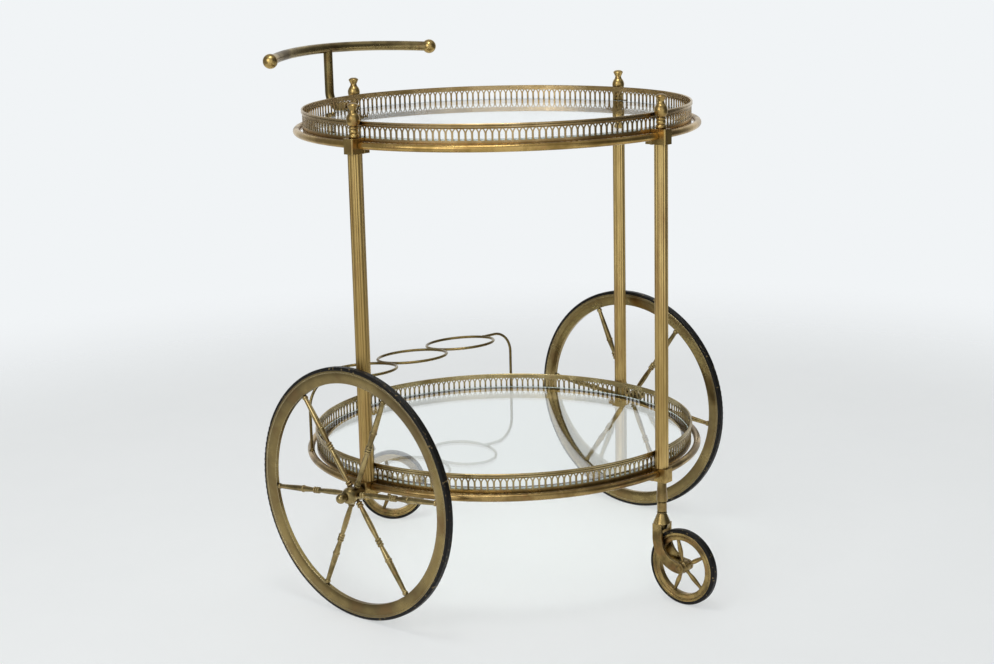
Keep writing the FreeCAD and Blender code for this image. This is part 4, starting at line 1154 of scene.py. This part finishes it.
def main() -> None:
    """Build the studio, dress every node and add the finer pieces."""
    logging.basicConfig(level=logging.INFO, format="%(name)s: %(message)s")
    # Drawn rods keep a warm gold. The lower tray's copy is darker: painted shade for its place under the
    # upper tray.
    drawn = BrassFinish("aged_brass_drawn", gold="#c8a767", olive="#987c45").build()
    drawn_shaded = BrassFinish("aged_brass_drawn_shaded", gold="#b29763", olive="#80683e").build()
    # The ledges lie under glass and get no painted corner shade.
    ledge = BrassFinish("aged_brass_ledge", gold="#c8a767", olive="#987c45", corner_shade_share=0.0).build()
    # Fluted tube is the palest, with streaks that run down it.
    tube = BrassFinish("aged_brass_fluted_tube", gold="#e4c581", olive="#b5985c",
                       grain=Grain.UPRIGHT, copper_share=0.55, smooth=0.28, dull=0.42).build()
    # Small castings are mottled in small patches.
    cast = BrassFinish("aged_brass_cast", cloud_mm=22.0, patch_mm=12.0).build()
    # The casters are browner, near the dirt of the floor, with painted shade deep in their corners.
    turned = BrassFinish("aged_brass_caster", gold="#ac945f", olive="#6b5a38", cloud_mm=26.0,
                         corner_shade_mm=9.0, corner_shade_share=0.75).build()
    # Turned spokes and hubs are a greyer olive, with painted shade in the grooves between their beads.
    spun = BrassFinish("aged_brass_spoke", gold="#b09c6c", olive="#766743", cloud_mm=22.0, patch_mm=12.0,
                       corner_shade_share=0.75).build()
    # The rolled rims are a broad, even olive with pale edges, worn and painted wide as a highlight.
    rolled = BrassFinish("aged_brass_rim", gold="#9c8859", olive="#726342", copper_share=0.25,
                         rubbed_highlight="#e6d6ac", cloud_mm=80.0, patch_mm=40.0, edge_mm=1.1).build()
    # Pierced strip is pale on its face with painted shade in its openings. The lower tray's copy is darker,
    # painted shade under the upper tray.
    pierced = BrassFinish("aged_brass_pierced", gold="#c0a77b", olive="#a2885a",
                          copper_share=0.3, corner_shade_share=0.85, edge_mm=0.3).build()
    pierced_shaded = BrassFinish("aged_brass_pierced_shaded", gold="#b3a277", olive="#8f7c51",
                         copper_share=0.3, corner_shade_share=0.85, edge_mm=0.3).build()
    # Hands have darkened the bar, in brown patches.
    handled = BrassFinish("aged_brass_handled", gold="#a99566", olive="#6c5c3e", copper="#7b5b3e",
                          copper_share=0.45).build()
    # Thin wire is dark, nearly bronze.
    wire = BrassFinish("aged_brass_wire", gold="#8b7a4e", olive="#6b5a35", copper_share=0.3).build()
    rubber = RubberFinish("worn_black_rubber").build()
    glass = GlassFinish("float_glass").build()

    # The lower tray takes the darker copies, painted shade under the upper tray.
    metals = {Level.UPPER: (drawn, pierced), Level.LOWER: (drawn_shaded, pierced_shaded)}
    for level in Level:
        tray = Tray(level)
        tray.dress(*metals[level], ledge, glass)
        tray.fit_screws(cast)
    for corner in Corner:
        Post(corner).dress(tube, cast)
    for side in Side:
        wheel = SideWheel(side)
        wheel.dress(spun, rolled, rubber)
        wheel.fit_hub(spun)
    for end in End:
        caster = Caster(end)
        caster.dress(turned, rubber)
        caster.fit_wheel(turned)
        caster.fit_washer(handled)
    Handle().dress(handled, wire, cast)
    holder = BottleHolder()
    holder.dress(wire)
    holder.braze(wire)
    dress(["tie_rods"], drawn)
    Studio().build()


if __name__ == "__main__":
    main()
